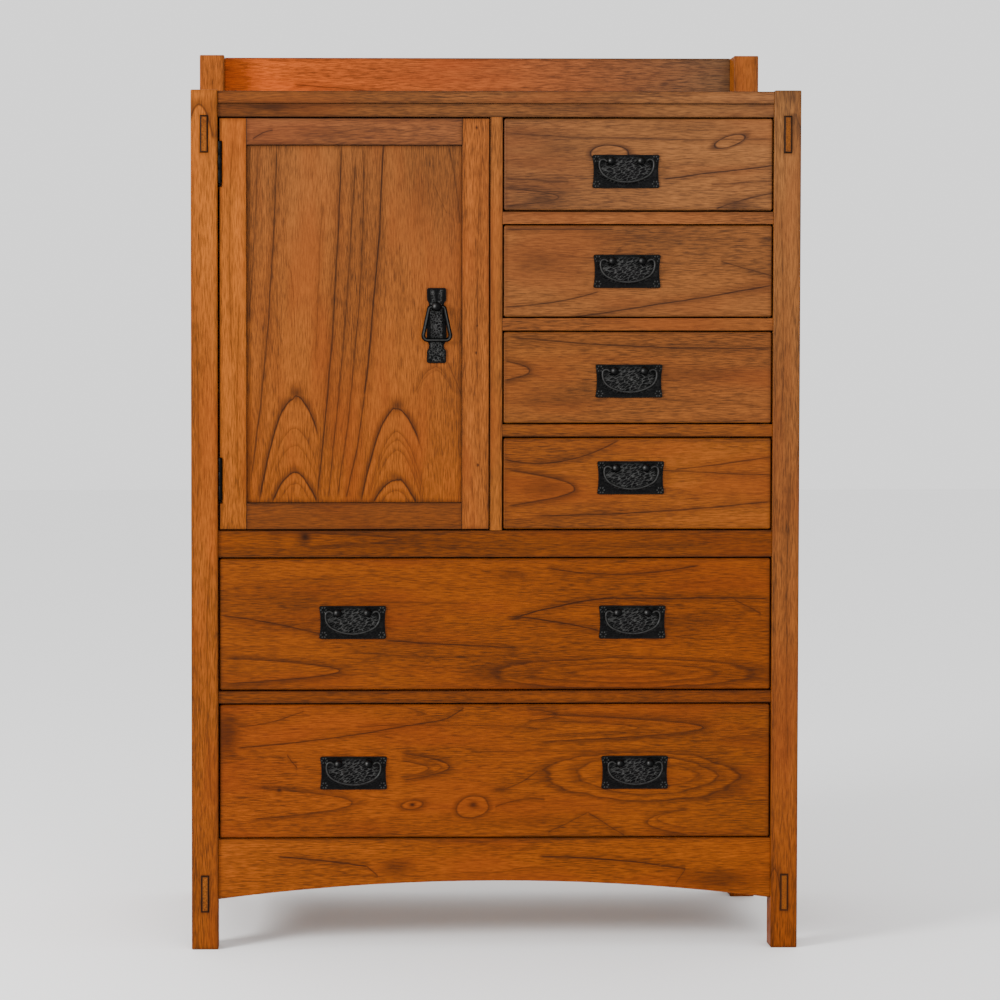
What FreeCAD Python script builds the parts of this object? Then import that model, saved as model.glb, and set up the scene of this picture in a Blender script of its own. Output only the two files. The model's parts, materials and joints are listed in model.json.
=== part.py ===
import FreeCAD, Part
import math
import os

# Door chest: a framed door and four small drawers over two wide drawers, on square
# posts with an arched front rail and a gallery board between taller back posts.
# Millimetres, +Z up, the front looks along -Y, origin on the floor under the middle.

V = FreeCAD.Vector

# Joinery, shared by the whole case
FIT = 0.1
OVERRUN = 6.0
TENON_L = 14.0
TENON_SHOULDER = 5.0
GROOVE_D = 8.0

# Case and posts
CASE_W = 1092.0
CASE_D = 470.0
BACK_POST_RISE = 111.0
POST_W = 48.0
FRONT_POST_T = 38.0
BACK_POST_T = 63.0
POST_EASE = 1.5

# Top board and gallery
TOP_T = 22.0
TOP_DROP = 2.0
TOP_FRONT_SETBACK = 3.0
TOP_SIDE_INSET = 4.0
TOP_BACK_INSET = 4.0
GALLERY_T = 18.0

# Front rails, mullion and the openings between them
FRONT_SETBACK = 5.0
RAIL_T = 22.0
RAIL_D = 33.0
RAIL_H = 22.0
TOP_RAIL_H = 24.0
MID_RAIL_H = 48.0
MULLION_W = 22.0
MULLION_SHIFT = 0.8
MULLION_TENON_L = 8.0
ARCH_FOOT_GAP = 90.5
SMALL_OPEN_H = 168.5
SMALL_COUNT = 4
UPPER_WIDE_OPEN_H = 241.0
LOWER_WIDE_OPEN_H = 245.0
ARCH_END_H = 108.5
ARCH_MID_H = 76.5

# Sides and back
SIDE_RAIL_T = 22.0
SIDE_RAIL_H = 110.0
SIDE_TENON_T = 14.0
SIDE_TENON_SHOULDER = 22.0
FOOT_TENON_SHOULDER = 2.0
SIDE_TENON_PROUD = 1.5
SIDE_TENON_EASE = 1.0
BACK_TENON_L = 30.0
SIDE_PANEL_T = 12.0
FOOT_CLEAR = 66.0
FOOT_RAIL_H = 90.0
FOOT_ARCH_RISE = 20.0
BACK_RAIL_T = 18.0
BACK_RAIL_H = 80.0
BACK_RAIL_FOOT = 120.0
BACK_PANEL_T = 6.0
BACK_RECESS = 4.0

# Inside of the case
PARTITION_T = 16.0
FLOOR_T = 12.0
SHELF_T = 16.0
SHELF_PLAY = 0.5
SHELF_COUNT = 2
CLEAT_W = 16.0
CLEAT_H = 18.0
RUNNER_H = 20.0
RUNNER_BEARING_W = 15.0
RUNNER_PLAY = 0.5
GUIDE_H = 20.0

# Drawers
FRONT_GAP = 2.5
FRONT_T = 20.0
FRONT_EASE = 2.0
FRONT_CORNER = 2.5
SIDE_T = 12.0
SIDE_DROP = 12.0
BOX_BACK_ROOM = 17.0
BACK_T = 12.0
BOTTOM_T = 6.0
BOTTOM_RISE = 12.0
BOTTOM_GROOVE = 5.0
TAIL_L = 14.0
TAIL_GAP = 6.0
TAIL_PITCH = 36.0
TAIL_FLARE_SHARE = 0.14

# Drawer pulls: waisted plate, two ball-headed posts and a bail
PLATE_W = 121.5
PLATE_H = 59.5
PLATE_T = 2.6
PLATE_WAIST = 3.0
PLATE_CORNER = 3.2
BALL_R = 7.2
BALL_NECK_R = 4.5
BALL_SPACING = 53.5
BALL_RISE = 17.8
BALL_STANDOFF = 9.0
BALL_BAND_COUNT = 4
BALL_SIDE_COUNT = 8
BALL_FIRST_TURN = 70.0
BALL_STEP_TURN = 35.0
BAR_SIDE_COUNT = 8
BEND_STEP_TURN = 30.0
STUB_R = 1.5
STUB_PLAY = 0.06
STUB_L = 5.0
STUB_GAP = 0.5
BAIL_R = 2.2
BAIL_LIFT_R = 4.0
BAIL_TOP_R = 6.3
BAIL_SIDE_R = 24.4
BAIL_LIFT_TURN = 45.0
BAIL_TOP_TURN = 125.0
BAIL_SIDE_TURN = 70.0

# Where the fitter drilled: each pull's place from the middle of its drawer front
SMALL_PULL_SHIFTS_X = (-22.8, -20.2, -16.0, -12.4)
SMALL_PULL_SHIFTS_Z = (-12.6, -0.5, -6.5, 10.5)
UPPER_WIDE_PULLS_X = (-256.6, 246.3)
LOWER_WIDE_PULLS_X = (-254.9, 251.7)
UPPER_WIDE_PULL_Z = 3.5
LOWER_WIDE_PULL_Z = -3.1

# Door
DOOR_T = 20.0
DOOR_HINGE_GAP = 3.0
DOOR_LATCH_GAP = 2.0
DOOR_END_GAP = 2.5
STILE_W = 48.5
DOOR_RAIL_W = 47.5
DOOR_TENON_L = 10.0
PANEL_T = 8.0
PANEL_RECESS = 6.0

# Butt hinges
HINGE_H = 75.0
HINGE_FROM_TOP = 41.0
HINGE_FROM_FOOT = 53.0
KNUCKLE_R = 3.6
KNUCKLE_COUNT = 3
KNUCKLE_GAP = 0.4
KNUCKLE_ROOM = 0.5
HINGE_PIN_R = 1.6
HINGE_PIN_PLAY = 0.05
HINGE_TIP_R = 3.2
LEAF_T = 1.2
LEAF_W = 24.0
BARREL_OFF_POST = 0.4

# Door pull: plate necked in twice, domed post and drop ring
DROP_PLATE_W = 34.4
DROP_NECK_W = 26.2
DROP_PLATE_H = 134.5
DROP_LOBE_H = 22.0
DROP_NECK_H = 17.0
DROP_PLATE_T = 3.0
DROP_PULL_X = -106.2
DROP_PULL_Z = -2.2
DOME_R = 8.5
DOME_NECK_R = 5.0
DOME_RISE = 33.5
DOME_STANDOFF = 8.0
DROP_R = 3.6
DROP_TOP_R = 5.0
DROP_CORNER_R = 8.0
DROP_SIDE_L = 47.0
DROP_SPLAY_TURN = 78.0

# Catch and strike
CATCH_H = 40.0
CATCH_W = 16.0
CATCH_PLAY = 0.5
STRIKE_H = 36.0
STRIKE_W = 14.0
STRIKE_T = 1.2


def grown(span, by):
    return (span[0] - by, span[1] + by)


def below(span, height):
    return (span[0] - height, span[0])


def above(span, height):
    return (span[1], span[1] + height)


def middle(span):
    return (span[0] + span[1]) / 2


def about(centre, width):
    return (centre - width / 2, centre + width / 2)


# Planes and spans, from the driving sizes
BALL_REACH = BALL_R * math.sin(math.radians(BALL_FIRST_TURN))
PULL_REACH = PLATE_T + BALL_STANDOFF + BALL_REACH - FRONT_SETBACK
FRONT_Y = (PULL_REACH - CASE_D) / 2
BACK_Y = FRONT_Y + CASE_D
FACE_Y = FRONT_Y + FRONT_SETBACK
FRONT_POST_Y = (FRONT_Y, FRONT_Y + FRONT_POST_T)
BACK_POST_Y = (BACK_Y - BACK_POST_T, BACK_Y)
SIDE_Y = (FRONT_POST_Y[1], BACK_POST_Y[0])
RAIL_Y = (FACE_Y, FACE_Y + RAIL_D)
UPRIGHT_RAIL_Y = (FACE_Y, FACE_Y + RAIL_T)
BACK_PANEL_Y = (BACK_Y - BACK_RECESS - BACK_PANEL_T, BACK_Y - BACK_RECESS)
BACK_RAIL_Y = below(BACK_PANEL_Y, BACK_RAIL_T)
GALLERY_Y = (BACK_Y - GALLERY_T, BACK_Y)

HALF_W = CASE_W / 2
INNER_X = (POST_W - HALF_W, HALF_W - POST_W)
POST_X = (INNER_X[1], HALF_W)
POST_MID_X = middle(POST_X)
SIDE_PANEL_X = about(POST_MID_X, SIDE_PANEL_T)
BAY_X = (-SIDE_PANEL_X[0], SIDE_PANEL_X[0])
MULLION_X = about(MULLION_SHIFT, MULLION_W)
PARTITION_X = about(MULLION_SHIFT, PARTITION_T)
SMALL_X = (MULLION_X[1], INNER_X[1])

ARCH_Z = (ARCH_FOOT_GAP, ARCH_FOOT_GAP + ARCH_END_H)
LOWER_WIDE_Z = above(ARCH_Z, LOWER_WIDE_OPEN_H)
LOWER_RAIL_Z = above(LOWER_WIDE_Z, RAIL_H)
UPPER_WIDE_Z = above(LOWER_RAIL_Z, UPPER_WIDE_OPEN_H)
MID_RAIL_Z = above(UPPER_WIDE_Z, MID_RAIL_H)
SMALL_PITCH = SMALL_OPEN_H + RAIL_H
SMALL_FEET = [MID_RAIL_Z[1] + place * SMALL_PITCH for place in reversed(range(SMALL_COUNT))]
SMALL_ZS = [(foot, foot + SMALL_OPEN_H) for foot in SMALL_FEET]
DIVIDER_ZS = [below(z, RAIL_H) for z in SMALL_ZS[:-1]]
TOP_RAIL_Z = above(SMALL_ZS[0], TOP_RAIL_H)
BOARD_Z = above(TOP_RAIL_Z, TOP_T)
FRONT_POST_H = BOARD_Z[1] + TOP_DROP
BACK_POST_H = FRONT_POST_H + BACK_POST_RISE
CUPBOARD_Z = (MID_RAIL_Z[1], BOARD_Z[0])
FLOOR_Z = (MID_RAIL_Z[1] - FLOOR_T, MID_RAIL_Z[1])
TOP_SIDE_Z = below(BOARD_Z, SIDE_RAIL_H)
FOOT_SIDE_Z = (FOOT_CLEAR, FOOT_CLEAR + FOOT_RAIL_H)
TOP_BACK_Z = below(BOARD_Z, BACK_RAIL_H)
FOOT_BACK_Z = (BACK_RAIL_FOOT, BACK_RAIL_FOOT + BACK_RAIL_H)


def block(x, y, z):
    corner = V(x[0], y[0], z[0])
    return Part.makeBox(x[1] - x[0], y[1] - y[0], z[1] - z[0], corner)


def mirrored(shape):
    return shape.mirror(V(0, 0, 0), V(1, 0, 0))


def save(node, *solids):
    shape = solids[0] if len(solids) == 1 else Part.makeCompound(list(solids))
    shape.exportStep("parts/" + node + ".step")


def edges_in_plane(shape, y):
    found = []
    for edge in shape.Edges:
        if all(abs(vertex.Y - y) < FIT for vertex in edge.Vertexes):
            found.append(edge)
    return found


def cut_all(shape, tools):
    for tool in tools:
        shape = shape.cut(tool)
    return shape


# A rail lies along X between two faces, with a stub tenon at each end
def tenon_block(x, y, z, room):
    return block(x, grown(y, room - TENON_SHOULDER), grown(z, room - TENON_SHOULDER))


def tenoned_rail(x, y, z, left_l, right_l):
    core_x = (x[0] - left_l, x[1] + right_l)
    return block(x, y, z).fuse(tenon_block(core_x, y, z, 0)).removeSplitter()


def rail_mortise(x, y, z, tenon_l):
    return tenon_block(grown(x, tenon_l + FIT), y, z, FIT)


# Side frames, drawn on the right and mirrored for the left
SIDE_TENON_X = about(POST_MID_X, SIDE_TENON_T)
TOP_TENON_Z = grown(TOP_SIDE_Z, -SIDE_TENON_SHOULDER)
FOOT_TENON_Z = (FOOT_SIDE_Z[0] + FOOT_TENON_SHOULDER, FOOT_SIDE_Z[1] - SIDE_TENON_SHOULDER)


def side_rail(z, tenon_z):
    body = block(about(POST_MID_X, SIDE_RAIL_T), SIDE_Y, z)
    front_y = FRONT_Y - SIDE_TENON_PROUD
    tenon = block(SIDE_TENON_X, (front_y, SIDE_Y[1] + BACK_TENON_L), tenon_z)
    tenon = tenon.makeChamfer(SIDE_TENON_EASE, edges_in_plane(tenon, front_y))
    rail = body.fuse(tenon).removeSplitter()
    return rail.cut(side_panel_block(FIT))


def side_tenon_mortise(tenon_z):
    y = (FRONT_Y - OVERRUN, SIDE_Y[1] + BACK_TENON_L + FIT)
    return block(grown(SIDE_TENON_X, FIT), y, grown(tenon_z, FIT))


def side_panel_block(room):
    y = grown(SIDE_Y, GROOVE_D + room)
    z = grown((FOOT_SIDE_Z[1], TOP_SIDE_Z[0]), GROOVE_D + room)
    return block(grown(SIDE_PANEL_X, room), y, z)


def side_cuts():
    return [side_panel_block(FIT), side_tenon_mortise(TOP_TENON_Z), side_tenon_mortise(FOOT_TENON_Z)]


def eased_post(y, height):
    post = block(POST_X, y, (0, height))
    return post.makeChamfer(POST_EASE, post.Edges)


# Front rails: name, depth span, height span
def long_front_rails():
    return {
        "top_rail": (RAIL_Y, TOP_RAIL_Z),
        "mid_rail": (UPRIGHT_RAIL_Y, MID_RAIL_Z),
        "lower_rail": (RAIL_Y, LOWER_RAIL_Z),
        "arched_rail": (UPRIGHT_RAIL_Y, ARCH_Z),
    }


def long_rail_mortises():
    return [rail_mortise(INNER_X, y, z, TENON_L) for y, z in long_front_rails().values()]


def divider_mortises():
    cuts = []
    for z in DIVIDER_ZS:
        x = (SMALL_X[0] - MULLION_TENON_L - FIT, SMALL_X[1] + TENON_L + FIT)
        cuts.append(tenon_block(x, RAIL_Y, z, FIT))
    return cuts


def back_members():
    top_gallery = (BOARD_Z[1], BACK_POST_H)
    return [(BACK_RAIL_Y, TOP_BACK_Z), (BACK_RAIL_Y, FOOT_BACK_Z), (GALLERY_Y, top_gallery)]


def back_mortises():
    return [rail_mortise(INNER_X, y, z, TENON_L) for y, z in back_members()]


def posts():
    front = cut_all(eased_post(FRONT_POST_Y, FRONT_POST_H), side_cuts())
    back = cut_all(eased_post(BACK_POST_Y, BACK_POST_H), side_cuts())
    front_right = cut_all(front, long_rail_mortises() + divider_mortises())
    front_left = cut_all(mirrored(front), long_rail_mortises())
    save("post_front_left", front_left)
    save("post_front_right", front_right)
    save("post_back_left", cut_all(mirrored(back), back_mortises()))
    save("post_back_right", cut_all(back, back_mortises()))


def post_corners(room):
    corners = []
    for y in (FRONT_POST_Y, BACK_POST_Y):
        notch = block(grown(POST_X, room), grown(y, room), (0, BACK_POST_H))
        corners += [notch, mirrored(notch)]
    return corners


def top_board():
    x = grown((-HALF_W, HALF_W), -TOP_SIDE_INSET)
    y = (FRONT_Y + TOP_FRONT_SETBACK, BACK_Y - TOP_BACK_INSET)
    save("top_board", cut_all(block(x, y, BOARD_Z), post_corners(FIT)))


# Each arch is one circular arc from post to post under its bottom rail
def arch_cut(start, crown, end, through):
    arc = Part.Arc(start, crown, end).toShape()
    chord = Part.LineSegment(end, start).toShape()
    return Part.Face(Part.Wire([arc, chord])).extrude(through)


def front_arch():
    y = FACE_Y - OVERRUN
    crown = V(0, y, ARCH_Z[1] - ARCH_MID_H)
    ends = [V(x, y, ARCH_Z[0]) for x in INNER_X]
    return arch_cut(ends[0], crown, ends[1], V(0, RAIL_T + 2 * OVERRUN, 0))


def side_arch():
    x = POST_X[0]
    crown = V(x, middle(SIDE_Y), FOOT_SIDE_Z[0] + FOOT_ARCH_RISE)
    ends = [V(x, y, FOOT_SIDE_Z[0]) for y in SIDE_Y]
    return arch_cut(ends[0], crown, ends[1], V(POST_W, 0, 0))


def front_rails():
    for node, (y, z) in long_front_rails().items():
        rail = tenoned_rail(INNER_X, y, z, TENON_L, TENON_L)
        if node == "arched_rail":
            rail = rail.cut(front_arch())
        if node in ("top_rail", "mid_rail"):
            rail = rail.cut(mullion_tenons(FIT))
        save(node, rail)
    dividers = []
    for z in DIVIDER_ZS:
        dividers.append(tenoned_rail(SMALL_X, RAIL_Y, z, MULLION_TENON_L, TENON_L))
    save("drawer_rails", *dividers)


def mullion_tenons(room):
    z = (MID_RAIL_Z[1] - MULLION_TENON_L - room, TOP_RAIL_Z[0] + MULLION_TENON_L + room)
    x = grown(MULLION_X, room - TENON_SHOULDER)
    return block(x, grown(UPRIGHT_RAIL_Y, room - TENON_SHOULDER), z)


def mullion():
    body = block(MULLION_X, RAIL_Y, (MID_RAIL_Z[1], TOP_RAIL_Z[0]))
    body = body.fuse(mullion_tenons(0)).removeSplitter()
    save("mullion", cut_all(body, divider_mortises()))


def sides_and_back():
    foot_rail = side_rail(FOOT_SIDE_Z, FOOT_TENON_Z).cut(side_arch())
    rails = [side_rail(TOP_SIDE_Z, TOP_TENON_Z), foot_rail]
    save("side_rails_right", *rails)
    save("side_rails_left", *[mirrored(rail) for rail in rails])
    panel = side_panel_block(0)
    save("side_panel_right", panel)
    save("side_panel_left", mirrored(panel))
    made = [tenoned_rail(INNER_X, y, z, TENON_L, TENON_L) for y, z in back_members()]
    save("back_rails", *made[:2])
    save("gallery_board", made[2])
    save("back_panel", block(INNER_X, BACK_PANEL_Y, (FOOT_BACK_Z[0], BOARD_Z[0])))


# Behind the front: cupboard floor, partition, shelves and their cleats
def inside():
    floor_y = (UPRIGHT_RAIL_Y[1], BACK_PANEL_Y[0])
    save("cupboard_floor", cut_all(block(BAY_X, floor_y, FLOOR_Z), post_corners(FIT)))
    wall = block(PARTITION_X, (RAIL_Y[1], BACK_PANEL_Y[0]), CUPBOARD_Z)
    save("partition", wall.cut(block(INNER_X, BACK_RAIL_Y, TOP_BACK_Z)))
    x = grown((BAY_X[0], PARTITION_X[0]), -SHELF_PLAY)
    y = (SIDE_Y[0] + SHELF_PLAY, BACK_PANEL_Y[0] - SHELF_PLAY)
    shelves = []
    cleats = []
    for z in shelf_spans():
        shelves.append(cut_all(block(x, y, z), post_corners(SHELF_PLAY)))
        under = below(z, CLEAT_H)
        left = (BAY_X[0], BAY_X[0] + CLEAT_W)
        right = (PARTITION_X[0] - CLEAT_W, PARTITION_X[0])
        cleats.append(block(left, SIDE_Y, under))
        cleats.append(block(right, (SIDE_Y[0], BACK_RAIL_Y[0]), under))
    save("shelves", *shelves)
    save("shelf_cleats", *cleats)


def shelf_spans():
    step = (CUPBOARD_Z[1] - CUPBOARD_Z[0]) / (SHELF_COUNT + 1)
    return [about(CUPBOARD_Z[0] + step * (place + 1), SHELF_T) for place in range(SHELF_COUNT)]


# A runner is an L: a bearing under the drawer side and a guide beside it
def runner(wall_x, side_x, y, opening_z, with_bearing):
    inward = 1 if side_x > wall_x else -1
    guide_x = side_x - inward * RUNNER_PLAY
    top = opening_z[0] + FRONT_GAP - RUNNER_PLAY
    foot = top if with_bearing else opening_z[0]
    guide = block(tuple(sorted((wall_x, guide_x))), y, (foot, top + GUIDE_H))
    if not with_bearing:
        return guide
    bearing_x = tuple(sorted((wall_x, side_x + inward * RUNNER_BEARING_W)))
    bearing = block(bearing_x, y, (top - RUNNER_H, top))
    return bearing.fuse(guide).removeSplitter()


def drawer_runners():
    made = []
    partition_y = (RAIL_Y[1], BACK_RAIL_Y[0])
    for place, z in enumerate(SMALL_ZS):
        with_bearing = place < SMALL_COUNT - 1
        left_side = SMALL_X[0] + FRONT_GAP
        right_side = SMALL_X[1] - FRONT_GAP
        made.append(runner(PARTITION_X[1], left_side, partition_y, z, with_bearing))
        made.append(runner(BAY_X[1], right_side, SIDE_Y, z, with_bearing))
    for z in (UPPER_WIDE_Z, LOWER_WIDE_Z):
        right = runner(BAY_X[1], INNER_X[1] - FRONT_GAP, SIDE_Y, z, True)
        made += [right, mirrored(right)]
    save("drawer_runners", *made)


# Dovetails: tails on the drawer side, sockets behind a lap in the front
def tails(x, z, room):
    count = max(2, round((z[1] - z[0]) / TAIL_PITCH))
    pitch = (z[1] - z[0]) / count
    half_tip = (pitch - TAIL_GAP) / 2 + room
    half_root = half_tip - TAIL_L * TAIL_FLARE_SHARE
    root_y = FACE_Y + FRONT_T + room
    tip_y = FACE_Y + FRONT_T - TAIL_L - room
    made = []
    for place in range(count):
        mid_z = z[0] + pitch * (place + 1 / 2)
        outline = [
            V(x[0], root_y, mid_z - half_root),
            V(x[0], tip_y, mid_z - half_tip),
            V(x[0], tip_y, mid_z + half_tip),
            V(x[0], root_y, mid_z + half_root),
        ]
        face = Part.Face(Part.makePolygon(outline + outline[:1]))
        made.append(face.extrude(V(x[1] - x[0], 0, 0)))
    return made


def drawer(name, x, z):
    front_x = grown(x, -FRONT_GAP)
    front_z = grown(z, -FRONT_GAP)
    box_y = (FACE_Y + FRONT_T, BACK_RAIL_Y[0] - BOX_BACK_ROOM)
    side_z = (front_z[0], front_z[1] - SIDE_DROP)
    left_x = (front_x[0], front_x[0] + SIDE_T)
    right_x = (front_x[1] - SIDE_T, front_x[1])
    inner_x = (left_x[1], right_x[0])
    bottom_z = (side_z[0] + BOTTOM_RISE, side_z[0] + BOTTOM_RISE + BOTTOM_T)

    front = block(front_x, (FACE_Y, box_y[0]), front_z)
    corners = [edge for edge in front.Edges if edge.BoundBox.YLength > FRONT_EASE]
    front = front.makeChamfer(FRONT_CORNER, corners)
    front = front.makeChamfer(FRONT_EASE, edges_in_plane(front, FACE_Y))
    for side_x in (left_x, right_x):
        front = cut_all(front, tails(grown(side_x, FIT), side_z, FIT))
    groove_y = (box_y[0] - BOTTOM_GROOVE - FIT, box_y[0] + OVERRUN)
    front = front.cut(block(grown(inner_x, FIT), groove_y, grown(bottom_z, FIT)))
    save(name + "_front", front)

    panel = block(grown(inner_x, BOTTOM_GROOVE), box_y, bottom_z)
    tongue = block(inner_x, (box_y[0] - BOTTOM_GROOVE, box_y[1]), bottom_z)
    panel = panel.fuse(tongue).removeSplitter()
    groove = block(grown(inner_x, BOTTOM_GROOVE + FIT), grown(box_y, FIT), grown(bottom_z, FIT))
    sides = []
    for side_x in (left_x, right_x):
        board = block(side_x, box_y, side_z)
        board = board.fuse(tails(side_x, side_z, 0)).removeSplitter()
        sides.append(board.cut(groove))
    back = block(inner_x, (box_y[1] - BACK_T, box_y[1]), (bottom_z[1], side_z[1]))
    save(name + "_box", sides[0], sides[1], back, panel)


# A ring of corners round a line of travel, for forged bars and turned heads
def ring(place, along, up, ring_r, count):
    across = along.cross(up)
    corners = []
    for number in range(count):
        angle = 2 * math.pi * (number + 1 / 2) / count
        corners.append(place + across * (ring_r * math.cos(angle)) + up * (ring_r * math.sin(angle)))
    return Part.makePolygon(corners + corners[:1])


def bar_ring(place, heading, bar_r):
    along = V(math.cos(heading), 0, math.sin(heading))
    return ring(place, along, V(0, 1, 0), bar_r, BAR_SIDE_COUNT)


# Bends a forged bar in the XZ plane: each step is a size and a right turn in degrees,
# where a turn of zero is a straight run and any other turn is an arc of that radius
def bar_rings(bar_r, place, heading, steps):
    rings = []
    for size, turn in steps:
        if turn == 0:
            place = place + V(math.cos(heading), 0, math.sin(heading)) * size
            rings.append(bar_ring(place, heading, bar_r))
            continue
        reach = math.copysign(size, turn)
        centre = place + V(math.sin(heading), 0, -math.cos(heading)) * reach
        count = math.ceil(abs(turn) / BEND_STEP_TURN)
        for _ in range(count):
            heading -= math.radians(turn / count)
            place = centre - V(math.sin(heading), 0, -math.cos(heading)) * reach
            rings.append(bar_ring(place, heading, bar_r))
    return rings, place, heading


# A bent bar, the same on both sides of x = 0, drawn down to thin stubs that turn in
# cross holes; the last step brings it level to x = 0
def hanging_bar(bar_r, start_x, steps, last_turn):
    start = V(start_x, 0, 0)
    rings, end, heading = bar_rings(bar_r, start, 0, steps)
    last_step = (-end.x / math.sin(heading), last_turn) if last_turn else (end.x, 0)
    rings += bar_rings(bar_r, end, heading, [last_step])[0]
    bar = Part.makeLoft([bar_ring(start, 0, bar_r)] + rings, True, True)
    stub = Part.Face(bar_ring(start, 0, STUB_R)).extrude(V(-STUB_L, 0, 0))
    half = bar.fuse(stub)
    return half.fuse(mirrored(half)).removeSplitter()


# A turned ball on a neck, about the line from the plate out to the ball's middle
def ball_post(place, ball_r, neck_r, standoff):
    rings = []
    for number in range(BALL_BAND_COUNT):
        angle = math.radians(BALL_FIRST_TURN - BALL_STEP_TURN * number)
        centre = place - V(0, ball_r * math.sin(angle), 0)
        rings.append(ring(centre, V(0, 1, 0), V(0, 0, 1), ball_r * math.cos(angle), BALL_SIDE_COUNT))
    neck_y = math.sqrt(ball_r ** 2 - neck_r ** 2)
    for y in (neck_y, standoff):
        rings.append(ring(place + V(0, y, 0), V(0, 1, 0), V(0, 0, 1), neck_r, BALL_SIDE_COUNT))
    return Part.makeLoft(rings, True, True)


def bail_steps():
    return [
        (BAIL_LIFT_R, -BAIL_LIFT_TURN),
        (BAIL_TOP_R, BAIL_TOP_TURN),
        (BAIL_SIDE_R, BAIL_SIDE_TURN),
    ]


# Pulls are made about their pivot line and then moved to the drawer
def drawer_pull_plate():
    z = about(-BALL_RISE, PLATE_H)
    x = about(0, PLATE_W)
    waist_x = grown(x, -PLATE_WAIST)
    y = BALL_STANDOFF
    corners = [V(x[0], y, z[0]), V(x[1], y, z[0]), V(x[1], y, z[1]), V(x[0], y, z[1])]
    mid_z = middle(z)
    outline = [
        Part.LineSegment(corners[0], corners[1]).toShape(),
        Part.Arc(corners[1], V(waist_x[1], y, mid_z), corners[2]).toShape(),
        Part.LineSegment(corners[2], corners[3]).toShape(),
        Part.Arc(corners[3], V(waist_x[0], y, mid_z), corners[0]).toShape(),
    ]
    plate = Part.Face(Part.Wire(outline)).extrude(V(0, PLATE_T, 0))
    upright = [edge for edge in plate.Edges if edge.BoundBox.YLength > PLATE_T - FIT]
    plate = plate.makeChamfer(PLATE_CORNER, upright)
    for side in (-1, 1):
        place = V(side * BALL_SPACING / 2, 0, 0)
        plate = plate.fuse(ball_post(place, BALL_R, BALL_NECK_R, BALL_STANDOFF))
    plate = plate.removeSplitter()
    for side in (-1, 1):
        deep = V(side * (BALL_SPACING / 2 + BALL_R - STUB_L), 0, 0)
        hole = Part.makeCylinder(STUB_R + STUB_PLAY, STUB_L + OVERRUN, deep, V(side, 0, 0))
        plate = plate.cut(hole)
    return plate


def drawer_bail():
    start_x = BALL_SPACING / 2 + BALL_R + STUB_GAP
    last_turn = 180 + BAIL_LIFT_TURN - BAIL_TOP_TURN - BAIL_SIDE_TURN
    return hanging_bar(BAIL_R, start_x, bail_steps(), last_turn)


PIVOT_Y = FACE_Y - PLATE_T - BALL_STANDOFF


def pull_pivot(x, z, shift_x, shift_z):
    return V(middle(x) + shift_x, PIVOT_Y, middle(z) + shift_z + BALL_RISE)


def small_pull_pivots():
    shifts = zip(SMALL_ZS, SMALL_PULL_SHIFTS_X, SMALL_PULL_SHIFTS_Z)
    return [pull_pivot(SMALL_X, z, shift_x, shift_z) for z, shift_x, shift_z in shifts]


def wide_pull_pivots():
    upper = [pull_pivot(INNER_X, UPPER_WIDE_Z, x, UPPER_WIDE_PULL_Z) for x in UPPER_WIDE_PULLS_X]
    lower = [pull_pivot(INNER_X, LOWER_WIDE_Z, x, LOWER_WIDE_PULL_Z) for x in LOWER_WIDE_PULLS_X]
    return [upper, lower]


def moved(shape, place):
    copy = shape.copy()
    copy.translate(place)
    return copy


def drawers():
    plate = drawer_pull_plate()
    bail = drawer_bail()
    for place, z in enumerate(SMALL_ZS):
        name = "small_drawer_" + str(place + 1)
        drawer(name, SMALL_X, z)
        pivot = small_pull_pivots()[place]
        save(name + "_pull_plate", moved(plate, pivot))
        save(name + "_bail", moved(bail, pivot))
    for place, z in enumerate((UPPER_WIDE_Z, LOWER_WIDE_Z)):
        name = "wide_drawer_" + str(place + 1)
        drawer(name, INNER_X, z)
        left, right = wide_pull_pivots()[place]
        save(name + "_pull_plates", moved(plate, left), moved(plate, right))
        save(name + "_bail_left", moved(bail, left))
        save(name + "_bail_right", moved(bail, right))


# Door frame, panel and the spans that the hinges and the pull take from it
DOOR_X = (INNER_X[0] + DOOR_HINGE_GAP, MULLION_X[0] - DOOR_LATCH_GAP)
DOOR_Y = (FACE_Y, FACE_Y + DOOR_T)
DOOR_Z = grown((MID_RAIL_Z[1], TOP_RAIL_Z[0]), -DOOR_END_GAP)
DOOR_SIGHT_X = grown(DOOR_X, -STILE_W)
DOOR_SIGHT_Z = grown(DOOR_Z, -DOOR_RAIL_W)
PANEL_Y = (FACE_Y + PANEL_RECESS, FACE_Y + PANEL_RECESS + PANEL_T)
BARREL_X = INNER_X[0] + BARREL_OFF_POST + KNUCKLE_R
DROP_PIVOT_Y = PANEL_Y[0] - DROP_PLATE_T - DOME_STANDOFF


def door_panel_block(room):
    x = grown(DOOR_SIGHT_X, GROOVE_D + room)
    z = grown(DOOR_SIGHT_Z, GROOVE_D + room)
    return block(x, grown(PANEL_Y, room), z)


def door_tenon(z, room):
    x = grown(DOOR_SIGHT_X, DOOR_TENON_L + room)
    y = grown(DOOR_Y, room - TENON_SHOULDER)
    return block(x, y, grown(z, room - TENON_SHOULDER))


def hinge_tops():
    return [DOOR_Z[1] - HINGE_FROM_TOP, DOOR_Z[0] + HINGE_FROM_FOOT + HINGE_H]


def barrel_room(top):
    x = (DOOR_X[0] - OVERRUN, BARREL_X + KNUCKLE_R + KNUCKLE_ROOM)
    y = (FACE_Y - OVERRUN, FACE_Y + KNUCKLE_R + KNUCKLE_ROOM)
    z = (top - HINGE_H - 2 * HINGE_TIP_R - KNUCKLE_ROOM, top + KNUCKLE_ROOM)
    return block(x, y, z)


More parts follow.
